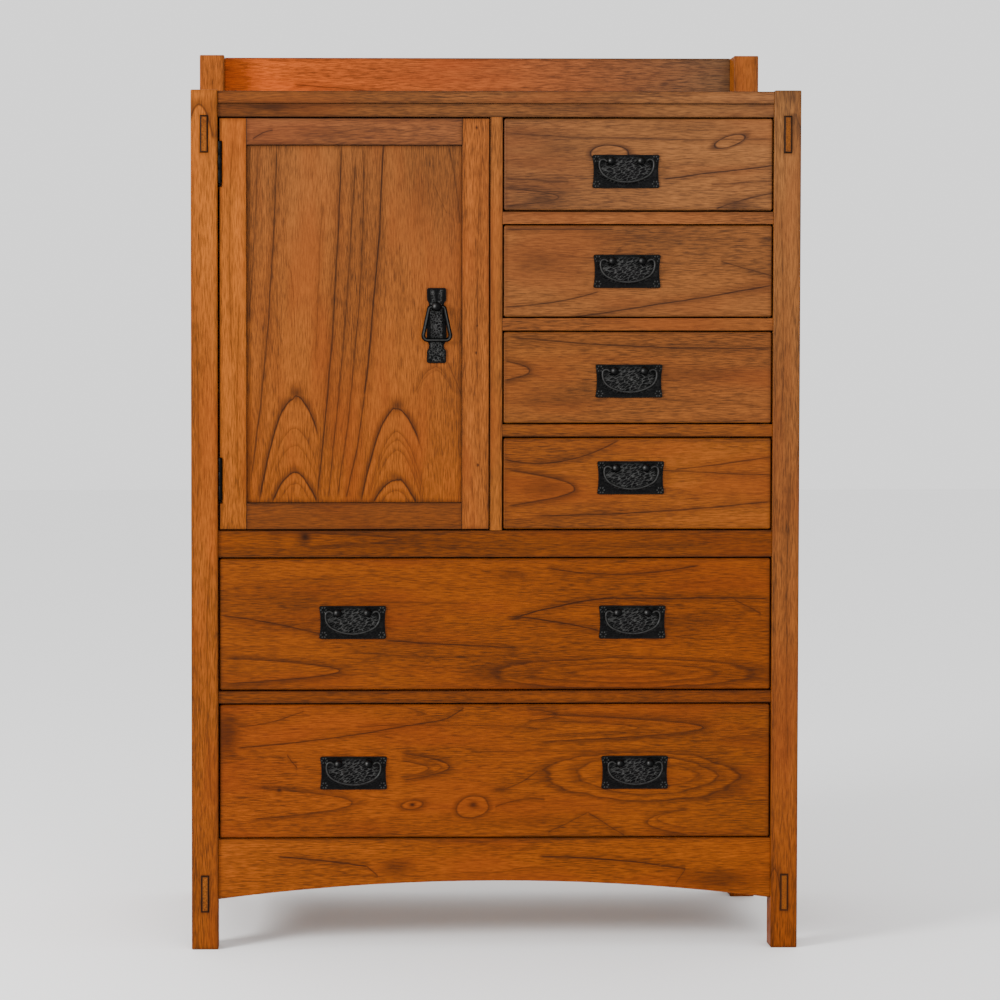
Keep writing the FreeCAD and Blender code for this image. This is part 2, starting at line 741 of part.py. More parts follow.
def strike_block(room):
    x = (DOOR_X[1] - STRIKE_W - TENON_SHOULDER - room, DOOR_X[1] - TENON_SHOULDER + room)
    y = (DOOR_Y[1] - STRIKE_T - room, DOOR_Y[1])
    return block(x, y, grown(about(middle(DOOR_Z), STRIKE_H), room))


def door():
    rail_zs = [(DOOR_SIGHT_Z[1], DOOR_Z[1]), (DOOR_Z[0], DOOR_SIGHT_Z[0])]
    mortises = [door_tenon(z, FIT) for z in rail_zs] + [door_panel_block(FIT)]
    hinge_stile = cut_all(block((DOOR_X[0], DOOR_SIGHT_X[0]), DOOR_Y, DOOR_Z), mortises)
    hinge_stile = cut_all(hinge_stile, [barrel_room(top) for top in hinge_tops()])
    latch_stile = cut_all(block((DOOR_SIGHT_X[1], DOOR_X[1]), DOOR_Y, DOOR_Z), mortises)
    save("door_stile_hinge", hinge_stile)
    save("door_stile_latch", latch_stile.cut(strike_block(FIT)))
    rails = []
    for z in rail_zs:
        rail = block(DOOR_SIGHT_X, DOOR_Y, z).fuse(door_tenon(z, 0)).removeSplitter()
        rails.append(rail.cut(door_panel_block(FIT)))
    save("door_rails", *rails)
    save("door_panel", door_panel_block(0))
    save("door_strike", strike_block(0))
    catch_y = (DOOR_Y[1] + CATCH_PLAY, RAIL_Y[1])
    catch_x = below(MULLION_X, CATCH_W)
    save("door_catch", block(catch_x, catch_y, about(middle(DOOR_Z), CATCH_H)))


# One leaf carries every second knuckle and is cut away round the other leaf's
def hinge_leaf(top, x, first_knuckle):
    pitch = HINGE_H / KNUCKLE_COUNT
    bottom = top - HINGE_H
    leaf = block(x, (FACE_Y, FACE_Y + LEAF_W), (bottom, top))
    own = []
    for place in range(KNUCKLE_COUNT):
        foot = V(BARREL_X, FACE_Y, bottom + place * pitch)
        if place % 2 == first_knuckle:
            start = foot + V(0, 0, KNUCKLE_GAP / 2)
            own.append(Part.makeCylinder(KNUCKLE_R, pitch - KNUCKLE_GAP, start))
        else:
            start = foot - V(0, 0, KNUCKLE_GAP / 2)
            leaf = leaf.cut(Part.makeCylinder(KNUCKLE_R + KNUCKLE_GAP, pitch + KNUCKLE_GAP, start))
    return leaf.fuse(own).removeSplitter()


# The pin is peened into the case leaf and ends below it in a turned tip
def hinge_pin(top):
    foot = V(BARREL_X, FACE_Y, top - HINGE_H + KNUCKLE_GAP / 2)
    pin = Part.makeCylinder(HINGE_PIN_R, HINGE_H - KNUCKLE_GAP, foot)
    rings = []
    for number in range(BALL_BAND_COUNT):
        angle = math.radians(BALL_FIRST_TURN - BALL_STEP_TURN * number)
        centre = foot - V(0, 0, HINGE_TIP_R * (1 - math.sin(angle)))
        rings.append(ring(centre, V(0, 0, 1), V(0, 1, 0), HINGE_TIP_R * math.cos(angle), BALL_SIDE_COUNT))
    neck = Part.makeCylinder(HINGE_PIN_R, HINGE_TIP_R, foot - V(0, 0, HINGE_TIP_R))
    return pin.fuse([neck, Part.makeLoft(rings, True, True)])


def hinges():
    case_x = (INNER_X[0], INNER_X[0] + LEAF_T)
    door_x = (DOOR_X[0] - LEAF_T, DOOR_X[0])
    case_leaves = []
    door_leaves = []
    for top in hinge_tops():
        case_leaves.append(hinge_leaf(top, case_x, 0).fuse(hinge_pin(top)).removeSplitter())
        bore_foot = V(BARREL_X, FACE_Y, top - HINGE_H)
        bore = Part.makeCylinder(HINGE_PIN_R + HINGE_PIN_PLAY, HINGE_H, bore_foot)
        door_leaves.append(hinge_leaf(top, door_x, 1).cut(bore))
    save("hinge_leaves_case", *case_leaves)
    save("hinge_leaves_door", *door_leaves)


# Door pull: a lobe at each end, and a neck in an arc between each lobe and the body
def drop_plate_side():
    side_x = DROP_PLATE_W / 2
    end_z = DROP_PLATE_H / 2
    lobe_z = end_z - DROP_LOBE_H
    neck = V(DROP_NECK_W / 2, 0, lobe_z - DROP_NECK_H / 2)
    body_z = lobe_z - DROP_NECK_H
    upper = [
        Part.LineSegment(V(side_x, 0, end_z), V(side_x, 0, lobe_z)).toShape(),
        Part.Arc(V(side_x, 0, lobe_z), neck, V(side_x, 0, body_z)).toShape(),
    ]
    lower = [edge.mirror(V(0, 0, 0), V(0, 0, 1)) for edge in upper]
    body = Part.LineSegment(V(side_x, 0, body_z), V(side_x, 0, -body_z)).toShape()
    return upper + lower + [body]


def drop_plate():
    right = drop_plate_side()
    left = [mirrored(edge) for edge in right]
    top_z = DROP_PLATE_H / 2
    top = Part.LineSegment(V(-DROP_PLATE_W / 2, 0, top_z), V(DROP_PLATE_W / 2, 0, top_z)).toShape()
    foot = top.mirror(V(0, 0, 0), V(0, 0, 1))
    outline = Part.Wire(Part.__sortEdges__(right + left + [top, foot]))
    plate = Part.Face(outline).extrude(V(0, DROP_PLATE_T, 0))
    corners = []
    for edge in plate.Edges:
        at_end = abs(abs(edge.CenterOfMass.z) - top_z) < FIT
        if at_end and edge.BoundBox.YLength > DROP_PLATE_T - FIT:
            corners.append(edge)
    return plate.makeChamfer(PLATE_CORNER, corners)


def door_pull():
    dome_z = middle(DOOR_Z) + DROP_PULL_Z
    plate = moved(drop_plate(), V(DROP_PULL_X, PANEL_Y[0] - DROP_PLATE_T, dome_z))
    pivot = drop_pivot()
    plate = plate.fuse(ball_post(pivot, DOME_R, DOME_NECK_R, DOME_STANDOFF)).removeSplitter()
    hole_l = 2 * (DOME_R + OVERRUN)
    hole_start = pivot - V(hole_l / 2, 0, 0)
    hole = Part.makeCylinder(STUB_R + STUB_PLAY, hole_l, hole_start, V(1, 0, 0))
    save("door_pull_plate", plate.cut(hole))
    steps = [
        (DROP_TOP_R, DROP_SPLAY_TURN),
        (DROP_SIDE_L, 0),
        (DROP_CORNER_R, 180 - DROP_SPLAY_TURN),
    ]
    drop = hanging_bar(DROP_R, DOME_R + STUB_GAP, steps, 0)
    save("door_pull_drop", moved(drop, pivot))


def drop_pivot():
    return V(DROP_PULL_X, DROP_PIVOT_Y, middle(DOOR_Z) + DROP_PULL_Z + DOME_RISE)


os.makedirs("parts", exist_ok=True)
posts()
top_board()
front_rails()
mullion()
sides_and_back()
inside()
drawer_runners()
drawers()
door()
hinges()
door_pull()
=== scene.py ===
import json
import math

import bmesh
import bpy
from bpy.props import FloatProperty, FloatVectorProperty, IntProperty, PointerProperty
from mathutils import Matrix, Vector, noise


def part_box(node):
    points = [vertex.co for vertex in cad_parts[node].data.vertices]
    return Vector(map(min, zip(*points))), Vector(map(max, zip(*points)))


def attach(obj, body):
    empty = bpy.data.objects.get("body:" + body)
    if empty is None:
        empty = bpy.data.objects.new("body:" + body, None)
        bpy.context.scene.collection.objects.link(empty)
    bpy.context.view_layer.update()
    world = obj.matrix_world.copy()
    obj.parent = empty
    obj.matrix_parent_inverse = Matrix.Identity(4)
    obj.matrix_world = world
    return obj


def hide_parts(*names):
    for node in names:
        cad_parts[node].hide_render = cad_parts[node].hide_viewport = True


bl_info = {
    "name": "Door chest looks",
    "version": (1, 0, 0),
    "blender": (4, 5, 0),
    "location": "View3D > Sidebar > Door Chest",
    "description": "Dresses the packed door chest in stained oak and hammered black iron",
    "category": "Object",
}

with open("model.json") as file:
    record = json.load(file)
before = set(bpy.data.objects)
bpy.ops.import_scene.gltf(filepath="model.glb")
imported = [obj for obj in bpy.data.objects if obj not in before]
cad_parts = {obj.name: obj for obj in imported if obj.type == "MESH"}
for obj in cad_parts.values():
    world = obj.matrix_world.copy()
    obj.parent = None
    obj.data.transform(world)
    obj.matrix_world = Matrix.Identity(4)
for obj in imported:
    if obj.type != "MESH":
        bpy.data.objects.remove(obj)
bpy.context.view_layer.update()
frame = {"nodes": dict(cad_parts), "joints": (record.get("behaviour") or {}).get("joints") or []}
DROP_PLATE_LOW, DROP_PLATE_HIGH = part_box("door_pull_plate")
MM = 0.001
IRON = "hammered_iron"
TINY = 0.00001


# Sizes and colours that a user would change

COLOUR = {"subtype": "COLOR", "size": 3, "min": 0.0, "max": 1.0}
LENGTH = {"unit": "LENGTH", "min": 0.0}


class DOORCHEST_PG_stain(bpy.types.PropertyGroup):
    case: FloatVectorProperty(
        name="Case stain", description="Stain on the posts and rails",
        default=(0.18, 0.045, 0.0043), **COLOUR)
    drawers: FloatVectorProperty(
        name="Drawer stain", description="Stain on the drawer fronts",
        default=(0.16, 0.038, 0.0033), **COLOUR)
    door: FloatVectorProperty(
        name="Door stain", description="Stain on the door frame and panel",
        default=(0.18, 0.045, 0.0047), **COLOUR)
    inside: FloatVectorProperty(
        name="Inside wood", description="Clear finish on drawer boxes, shelves and runners",
        default=(0.25, 0.118, 0.041), **COLOUR)
    # This dark colour is both the glaze in the joints and painted shade in the gaps round fronts, tenons
    # and the door's panel.
    glaze_and_shade: FloatVectorProperty(
        name="Glaze", description="Dark glaze left in the joints and round the tenons",
        default=(0.012, 0.004, 0.001), **COLOUR)
    glaze_and_shade_width: FloatProperty(
        name="Glaze width", description="Width of the dark line left along a joint",
        default=1.7 * MM, **LENGTH)
    ease: FloatProperty(
        name="Edge easing", description="Radius worn onto the edges of the boards",
        default=0.7 * MM, **LENGTH)
    figure: FloatProperty(
        name="Figure strength", description="Darkness of the veins in the wood",
        default=1.35, min=0.0)
    roughness: FloatProperty(
        name="Wax roughness", description="Roughness of the waxed surface",
        default=0.42, subtype="FACTOR", min=0.0, max=1.0)


class DOORCHEST_PG_iron(bpy.types.PropertyGroup):
    black: FloatVectorProperty(
        name="Blackened iron", description="Colour of the iron in the hollows",
        default=(0.0008, 0.0008, 0.0009), **COLOUR)
    # This colour also paints the highlights on the balls, the bails and the drop ring.
    worn: FloatVectorProperty(
        name="Worn iron", description="Colour of the iron where hands have rubbed it",
        default=(0.060, 0.059, 0.056), **COLOUR)
    mesh_step: FloatProperty(
        name="Hammering step", description="Spacing of the points on a hammered face",
        default=0.75 * MM, unit="LENGTH", min=0.4 * MM)
    hammer_depth: FloatProperty(
        name="Hammering depth", description="Height of the ridges between hammer marks",
        default=0.75 * MM, **LENGTH)
    rim_height: FloatProperty(
        name="Rim height", description="Height of the raised rim round a plate",
        default=0.5 * MM, **LENGTH)
    waist: FloatProperty(
        name="Plate waist", description="How far each end of a drawer plate bows in",
        default=3.0 * MM, **LENGTH)
    ball_radius: FloatProperty(
        name="Ball radius", description="Radius of the balls that hold a bail",
        default=7.2 * MM, **LENGTH)
    ball_spacing: FloatProperty(
        name="Ball spacing", description="Distance between the two balls of a pull",
        default=53.5 * MM, **LENGTH)
    bail_radius: FloatProperty(
        name="Bail rod radius", description="Radius of the bail's rod",
        default=2.2 * MM, **LENGTH)
    drop_radius: FloatProperty(
        name="Drop bar radius", description="Half the thickness of the drop ring's bar",
        default=3.6 * MM, **LENGTH)
    rod_sides: IntProperty(
        name="Rod sides", description="Points round a rod", default=16, min=6)


class DOORCHEST_PG_stage(bpy.types.PropertyGroup):
    floor_size: FloatProperty(
        name="Floor size", description="Half the side of the square floor",
        default=14.0, unit="LENGTH", min=1.0)
    floor_colour: FloatVectorProperty(
        name="Floor", description="Colour of the floor",
        default=(0.92, 0.92, 0.92), **COLOUR)
    sky: FloatProperty(
        name="Surround", description="Brightness of the white surround",
        default=1.45, min=0.0)
    key_power: FloatProperty(
        name="Key light", description="Power of the soft light at the upper left",
        default=330.0, unit="POWER", min=0.0)
    fill_power: FloatProperty(
        name="Fill light", description="Power of the soft light at the right",
        default=60.0, unit="POWER", min=0.0)


# Materials: a small kit for shader trees that read the board's own coordinates

class Finish:
    """One material's node tree, with short names for the nodes that it needs."""

    def __init__(self, name):
        self.material = bpy.data.materials.new(name)
        self.material.use_nodes = True
        self.nodes = self.material.node_tree.nodes
        self.links = self.material.node_tree.links
        self.shader = self.nodes["Principled BSDF"]
        place = self.nodes.new("ShaderNodeTexCoord")
        self.axes = self.split(place.outputs["Object"])
        self.facing = self.split(place.outputs["Normal"])

    def split(self, vector):
        node = self.nodes.new("ShaderNodeSeparateXYZ")
        self.links.new(vector, node.inputs[0])
        return dict(zip("XYZ", node.outputs))

    def feed(self, socket, value):
        if isinstance(value, bpy.types.NodeSocket):
            self.links.new(value, socket)
        else:
            socket.default_value = value

    def math(self, operation, *values, clamp=False):
        node = self.nodes.new("ShaderNodeMath")
        node.operation = operation
        node.use_clamp = clamp
        for socket, value in zip(node.inputs, values):
            self.feed(socket, value)
        return node.outputs[0]

    def add(self, *values):
        result = values[0]
        for value in values[1:]:
            result = self.math("ADD", result, value)
        return result

    def times(self, *values):
        result = values[0]
        for value in values[1:]:
            result = self.math("MULTIPLY", result, value)
        return result

    def largest(self, values):
        result = values[0]
        for value in values[1:]:
            result = self.math("MAXIMUM", result, value)
        return result

    def point(self, x, y, z):
        node = self.nodes.new("ShaderNodeCombineXYZ")
        for socket, value in zip(node.inputs, (x, y, z)):
            self.feed(socket, value)
        return node.outputs[0]

    def scaled(self, *scales):
        return self.point(*(self.times(self.axes[axis], scale) for axis, scale in zip("XYZ", scales)))

    def noise(self, vector, detail=2.0, rough=0.5):
        node = self.nodes.new("ShaderNodeTexNoise")
        self.feed(node.inputs["Vector"], vector)
        node.inputs["Scale"].default_value = 1.0
        node.inputs["Detail"].default_value = detail
        node.inputs["Roughness"].default_value = rough
        return node.outputs["Fac"]

    def remap(self, value, low, high, to_low=0.0, to_high=1.0):
        node = self.nodes.new("ShaderNodeMapRange")
        node.interpolation_type = "SMOOTHSTEP"
        for socket, number in zip(node.inputs, (value, low, high, to_low, to_high)):
            self.feed(socket, number)
        return node.outputs[0]

    def mix(self, factor, first, second):
        node = self.nodes.new("ShaderNodeMix")
        node.data_type = "RGBA"
        self.feed(node.inputs[0], factor)
        for socket, value in ((node.inputs[6], first), (node.inputs[7], second)):
            self.feed(socket, value if isinstance(value, bpy.types.NodeSocket) else (*value, 1.0))
        return node.outputs[2]

    def colour(self, value):
        self.feed(self.shader.inputs["Base Color"], value)

    def roughened(self, value, low, high):
        self.feed(self.shader.inputs["Roughness"], self.remap(value, 0.2, 0.8, low, high))

    def bump(self, height, distance, strength):
        node = self.nodes.new("ShaderNodeBump")
        node.inputs["Strength"].default_value = strength
        node.inputs["Distance"].default_value = distance
        self.feed(node.inputs["Height"], height)
        self.links.new(node.outputs[0], self.shader.inputs["Normal"])


# Marks in the wood, each drawn in the board's own plane: a is the place along the grain
# and c the place across it

class Board:
    """The grain of one board and the marks that grow in it."""

    def __init__(self, finish, grain, seed):
        self.finish = finish
        self.along, self.across, self.deep = (finish.axes[axis] for axis in grain)
        self.seed = seed
        self.ripple = self.grown("ripple")

    def stretched(self, along_scale, across_scale, offset):
        finish = self.finish
        return finish.point(
            finish.math("MULTIPLY_ADD", self.along, along_scale, offset + self.seed),
            finish.math("MULTIPLY_ADD", self.across, across_scale, offset),
            finish.times(self.deep, across_scale))

    def grown(self, name):
        along_scale, across_scale, offset, detail, rough = GROWTH[name]
        return self.finish.noise(self.stretched(along_scale, across_scale, offset), detail, rough)

    def from_middle(self, a, c, half_a, half_c, tilt=0.0):
        finish = self.finish
        run = finish.math("SUBTRACT", self.along, a)
        rise = finish.math("SUBTRACT", self.across, c)
        rise = finish.math("MULTIPLY_ADD", run, -tilt, rise)
        return finish.math("DIVIDE", run, half_a), finish.math("DIVIDE", rise, half_c)

    def thin(self, distance, width):
        ratio = self.finish.math("DIVIDE", distance, width)
        return self.finish.math("EXPONENT", self.finish.times(ratio, ratio, -1.0))

    def ring_edge(self, off, width):
        """A crisp dark line that fades out on the side where off is positive."""
        finish = self.finish
        faded = finish.times(finish.remap(off, 6.0 * width, 0.0), finish.remap(off, -width, 0.0), 0.72)
        return finish.math("MAXIMUM", self.thin(off, width), faded)

    def wander(self, amount):
        return self.finish.times(self.finish.math("SUBTRACT", self.ripple, 0.5), amount)

    def vein(self, start, start_c, end, end_c, bow, width, dark):
        finish = self.finish
        t = finish.math("DIVIDE", finish.math("SUBTRACT", self.along, start), end - start)
        line = finish.math("MULTIPLY_ADD", t, end_c - start_c, start_c)
        arc = finish.times(t, finish.math("SUBTRACT", 1.0, t), 4.0 * bow)
        off = finish.math("SUBTRACT", self.across, finish.add(line, arc, self.wander(0.006)))
        ends = finish.times(finish.remap(t, -0.03, 0.03), finish.remap(t, 1.03, 0.97))
        halo = finish.times(self.thin(off, 5.0 * width), 0.40)
        return finish.times(finish.math("MAXIMUM", self.thin(off, width), halo), ends, dark)

    def ring(self, a, c, half_a, half_c, tilt, width, dark):
        finish = self.finish
        run, rise = self.from_middle(a, c, half_a, half_c, tilt)
        square = finish.add(finish.times(run, run), finish.times(rise, rise), self.wander(0.8))
        radius = finish.math("SQRT", finish.math("MAXIMUM", square, 0.0))
        off = finish.times(finish.math("SUBTRACT", radius, 1.0), half_c * 1.2)
        return finish.times(self.ring_edge(off, width), dark)

    def arch(self, a, c, depth, half, width, dark):
        finish = self.finish
        bend = depth / half ** 2
        off_c = finish.math("SUBTRACT", self.across, c)
        below = finish.math("SUBTRACT", a, self.along)
        curve = finish.times(off_c, off_c, bend)
        steep = finish.times(off_c, 2.0 * bend)
        slope = finish.math("SQRT", finish.math("MULTIPLY_ADD", steep, steep, 1.0))
        inside = finish.math("SUBTRACT", finish.add(below, self.wander(0.02)), curve)
        off = finish.math("DIVIDE", inside, finish.times(slope, -math.copysign(1.0, depth)))
        reach = finish.remap(finish.math("DIVIDE", below, depth), 1.12, 0.92)
        return finish.times(self.ring_edge(off, width), reach, dark)

    def hook(self, a, c, depth, half, width, dark):
        """An arch whose leg on the far side of c is short."""
        far = self.finish.math("SUBTRACT", self.across, c)
        leg = self.finish.remap(far, 0.70 * half, 0.50 * half)
        return self.finish.times(self.arch(a, c, depth, half, width, dark), leg)

    def smoke(self, a, c, half_a, half_c, dark):
        finish = self.finish
        run, rise = self.from_middle(a, c, half_a, half_c)
        square = finish.add(finish.times(run, run), finish.times(rise, rise))
        ragged = finish.times(square, finish.math("MULTIPLY_ADD", self.ripple, 1.8, 0.1))
        return finish.times(finish.math("EXPONENT", finish.times(ragged, -1.0)), dark)

    def marks(self, figure):
        """Every mark of the board; the bolder the figure, the wider and darker its lines."""
        draw = {
            "vein": self.vein, "ring": self.ring, "arch": self.arch, "hook": self.hook,
            "smoke": self.smoke}
        bold = bpy.context.scene.door_chest_stain.figure
        found = []
        for kind, rows in figure.items():
            for *sizes, dark in rows:
                sizes = [size * MM for size in sizes]
                if kind != "smoke":
                    sizes[-1] *= bold
                found.append(draw[kind](*sizes, min(dark * bold, DARKEST)))
        return found


# Noise in the oak: scale along and across the grain, offset, detail and roughness
GROWTH = {
    "ripple": (9.0, 40.0, 7.7, 3.0, 0.55), "cloud": (2.4, 10.0, 21.0, 3.0, 0.55),
    "redness": (3.5, 14.0, 33.0, 2.0, 0.5), "streak": (9.0, 150.0, 5.0, 3.0, 0.55),
    "fleck": (44.0, 520.0, 15.0, 2.0, 0.6), "fibre": (40.0, 1100.0, 27.0, 2.0, 0.6),
    "pore": (70.0, 1500.0, 9.0, 1.0, 0.5), "sway": (1.6, 7.0, 3.1, 2.0, 0.45),
    "patch": (2.6, 11.0, 12.0, 2.0, 0.5),
}
# How much of the stain's red, green and blue the wood takes
TINTS = {
    "light": (1.65, 1.62, 1.40), "deep": (0.30, 0.35, 0.55), "red": (1.20, 0.88, 0.70),
    "burnt": (0.11, 0.12, 0.25),
}
RINGS_TO_A_METRE = 24.0
DARKEST = 0.95
OAK_SPECULAR = 0.07


def stained_oak(name, grain, tone_and_light_ends, seed, veined, figure=None, joints=(), outlines=()):
    """Stained oak: clouds, streaks, fibre and pores, the figure's marks, and dark glazing
    with painted shade along the joints.
    The two given colours at places on an axis hold the stain and its painted light, and the wood shades
    from one to the other."""
    settings = bpy.context.scene.door_chest_stain
    finish = Finish(name)
    board = Board(finish, grain, seed)
    cloud, redness, streak = board.grown("cloud"), board.grown("redness"), board.grown("streak")
    fleck, fibre = board.grown("fleck"), board.grown("fibre")
    pore = finish.remap(board.grown("pore"), 0.62, 0.72)

    # Growth rings: late wood darkens to the end of each ring, which a thin line marks
    width = finish.math("MULTIPLY_ADD", board.deep, 0.35, board.across)
    rings = finish.add(
        finish.times(width, RINGS_TO_A_METRE), finish.times(board.grown("sway"), 4.4),
        finish.times(board.ripple, 0.4))
    phase = finish.math("FRACT", rings)
    patch = finish.remap(board.grown("patch"), 0.38, 0.70)
    late = finish.times(
        finish.remap(phase, 0.3, 0.95), finish.remap(phase, 1.0, 0.97), patch, 0.30 * veined)
    line = finish.times(
        finish.remap(phase, 0.90, 0.965), finish.remap(phase, 1.0, 0.975), patch, 0.8 * veined)
    dark = finish.largest([late, line] + board.marks(figure or {}))

    # Painted light: the colour shades between the two given ends; an upright board grows bluer and lighter
    # toward its head, where light from above falls.
    (axis, start, start_stain_and_light), (_, end, end_stain_and_light) = tone_and_light_ends
    past_start = finish.math("SUBTRACT", finish.axes[axis], start)
    share = finish.math("DIVIDE", past_start, end - start, clamp=True)

    def tint(red_gain, green_gain, blue_gain):
        ends = [tuple(value * gain for value, gain in zip(stain, (red_gain, green_gain, blue_gain)))
                for stain in (start_stain_and_light, end_stain_and_light)]
        return finish.mix(share, *ends)

    light, deep, red, burnt = (tint(*TINTS[name]) for name in ("light", "deep", "red", "burnt"))
    worked = finish.add(
        finish.remap(cloud, 0.34, 0.66, 0.0, 0.26), finish.remap(streak, 0.36, 0.64, 0.0, 0.12),
        finish.remap(fleck, 0.36, 0.66, -0.10, 0.36), finish.remap(fibre, 0.38, 0.66, -0.06, 0.32))
    ground = finish.mix(worked, light, deep)
    ground = finish.mix(finish.remap(redness, 0.45, 0.72, 0.0, 0.45), ground, red)
    ground = finish.mix(finish.times(pore, 0.35), ground, burnt)
    ground = finish.mix(dark, ground, burnt)

    # Dark glazing in the joints, with painted shade: a soft darkening beside each joint and tenon, and a
    # painted shadow where the door's panel sits back.
    glaze_and_shade = glaze_and_joint_shade(finish, joints, outlines, settings.glaze_and_shade_width, cloud)
    if glaze_and_shade is not None:
        ground = finish.mix(glaze_and_shade, ground, tuple(settings.glaze_and_shade))
    finish.colour(ground)
    finish.roughened(fleck, settings.roughness - 0.05, settings.roughness + 0.10)
    finish.shader.inputs["Specular IOR Level"].default_value = OAK_SPECULAR
    sunk = finish.add(finish.times(pore, 0.5), finish.times(dark, 0.3))
    finish.bump(finish.math("SUBTRACT", finish.times(fibre, 0.6), sunk), 0.25 * MM, 0.35)
    return finish.material


def glaze_and_joint_shade(finish, joints, outlines, width, cloud):
    """Dark glazing and painted shade along planes, given as axis and place, and round
    rectangles seen from the front. A plane's glazing and shade lie on the faces that meet it,
    not on the face in it."""
    left = []
    for axis, place in joints:
        gap = finish.math("ABSOLUTE", finish.math("SUBTRACT", finish.axes[axis], place))
        meets = finish.remap(finish.math("ABSOLUTE", finish.facing[axis]), 0.5, 0.9, 1.0, 0.0)
        left.append(finish.times(finish.remap(gap, width, 0.2 * width), meets))
        # Painted shade: a soft darkening that spreads from the joint over the face.
        left.append(finish.times(finish.remap(gap, 6.0 * width, 0.0, 0.0, 0.35), meets))
    for low, high in outlines:
        past = []
        for axis, index in (("X", 0), ("Z", 2)):
            middle = (low[index] + high[index]) / 2
            half = (high[index] - low[index]) / 2
            off = finish.math("ABSOLUTE", finish.math("SUBTRACT", finish.axes[axis], middle))
            past.append(finish.math("SUBTRACT", off, half))
        gap = finish.math("ABSOLUTE", finish.largest(past))
        left.append(finish.remap(gap, 1.1 * width, 0.8 * width))
        # Painted shade: a soft darkening round the tenon's end.
        left.append(finish.remap(gap, 5.0 * width, 0.0, 0.0, 0.30))
    if not left:
        return None
    uneven = finish.math("MULTIPLY_ADD", cloud, 0.7, 0.62, clamp=True)
    return finish.math("MULTIPLY", finish.largest(left), uneven, clamp=True)


def blackened_iron(name, wear_and_highlight_attribute=""):
    """Blackened and waxed iron; the point attribute named by the second argument shows its wear
    and its painted highlights.
    """
    settings = bpy.context.scene.door_chest_iron
    finish = Finish(name)
    spread = finish.noise(finish.scaled(170.0, 170.0, 170.0), 3.0, 0.6)
    pits = finish.noise(finish.scaled(900.0, 900.0, 900.0), 2.0, 0.6)
    rub = finish.remap(spread, 0.55, 0.80, 0.0, 0.10)
    if wear_and_highlight_attribute:
        # The attribute holds wear on the hammered ridges and painted highlights on the round pieces.
        ridge = finish.nodes.new("ShaderNodeAttribute")
        ridge.attribute_name = wear_and_highlight_attribute
        patchy = finish.remap(spread, 0.30, 0.62, 0.5, 1.0)
        rub = finish.math("MAXIMUM", rub, finish.times(ridge.outputs["Fac"], patchy))
    finish.colour(finish.mix(rub, tuple(settings.black), tuple(settings.worn)))
    finish.roughened(pits, 0.30, 0.46)
    finish.feed(finish.shader.inputs["Specular IOR Level"], finish.math("MULTIPLY_ADD", rub, 0.30, 0.05))
    finish.bump(finish.add(spread, finish.times(pits, 0.4)), 0.3 * MM, 0.25)
    return finish.material


def brushed_steel(name):
    finish = Finish(name)
    finish.roughened(finish.noise(finish.scaled(900.0, 1.0, 40.0)), 0.28, 0.42)
    finish.shader.inputs["Base Color"].default_value = (0.55, 0.55, 0.55, 1.0)
    finish.shader.inputs["Metallic"].default_value = 1.0
    return finish.material


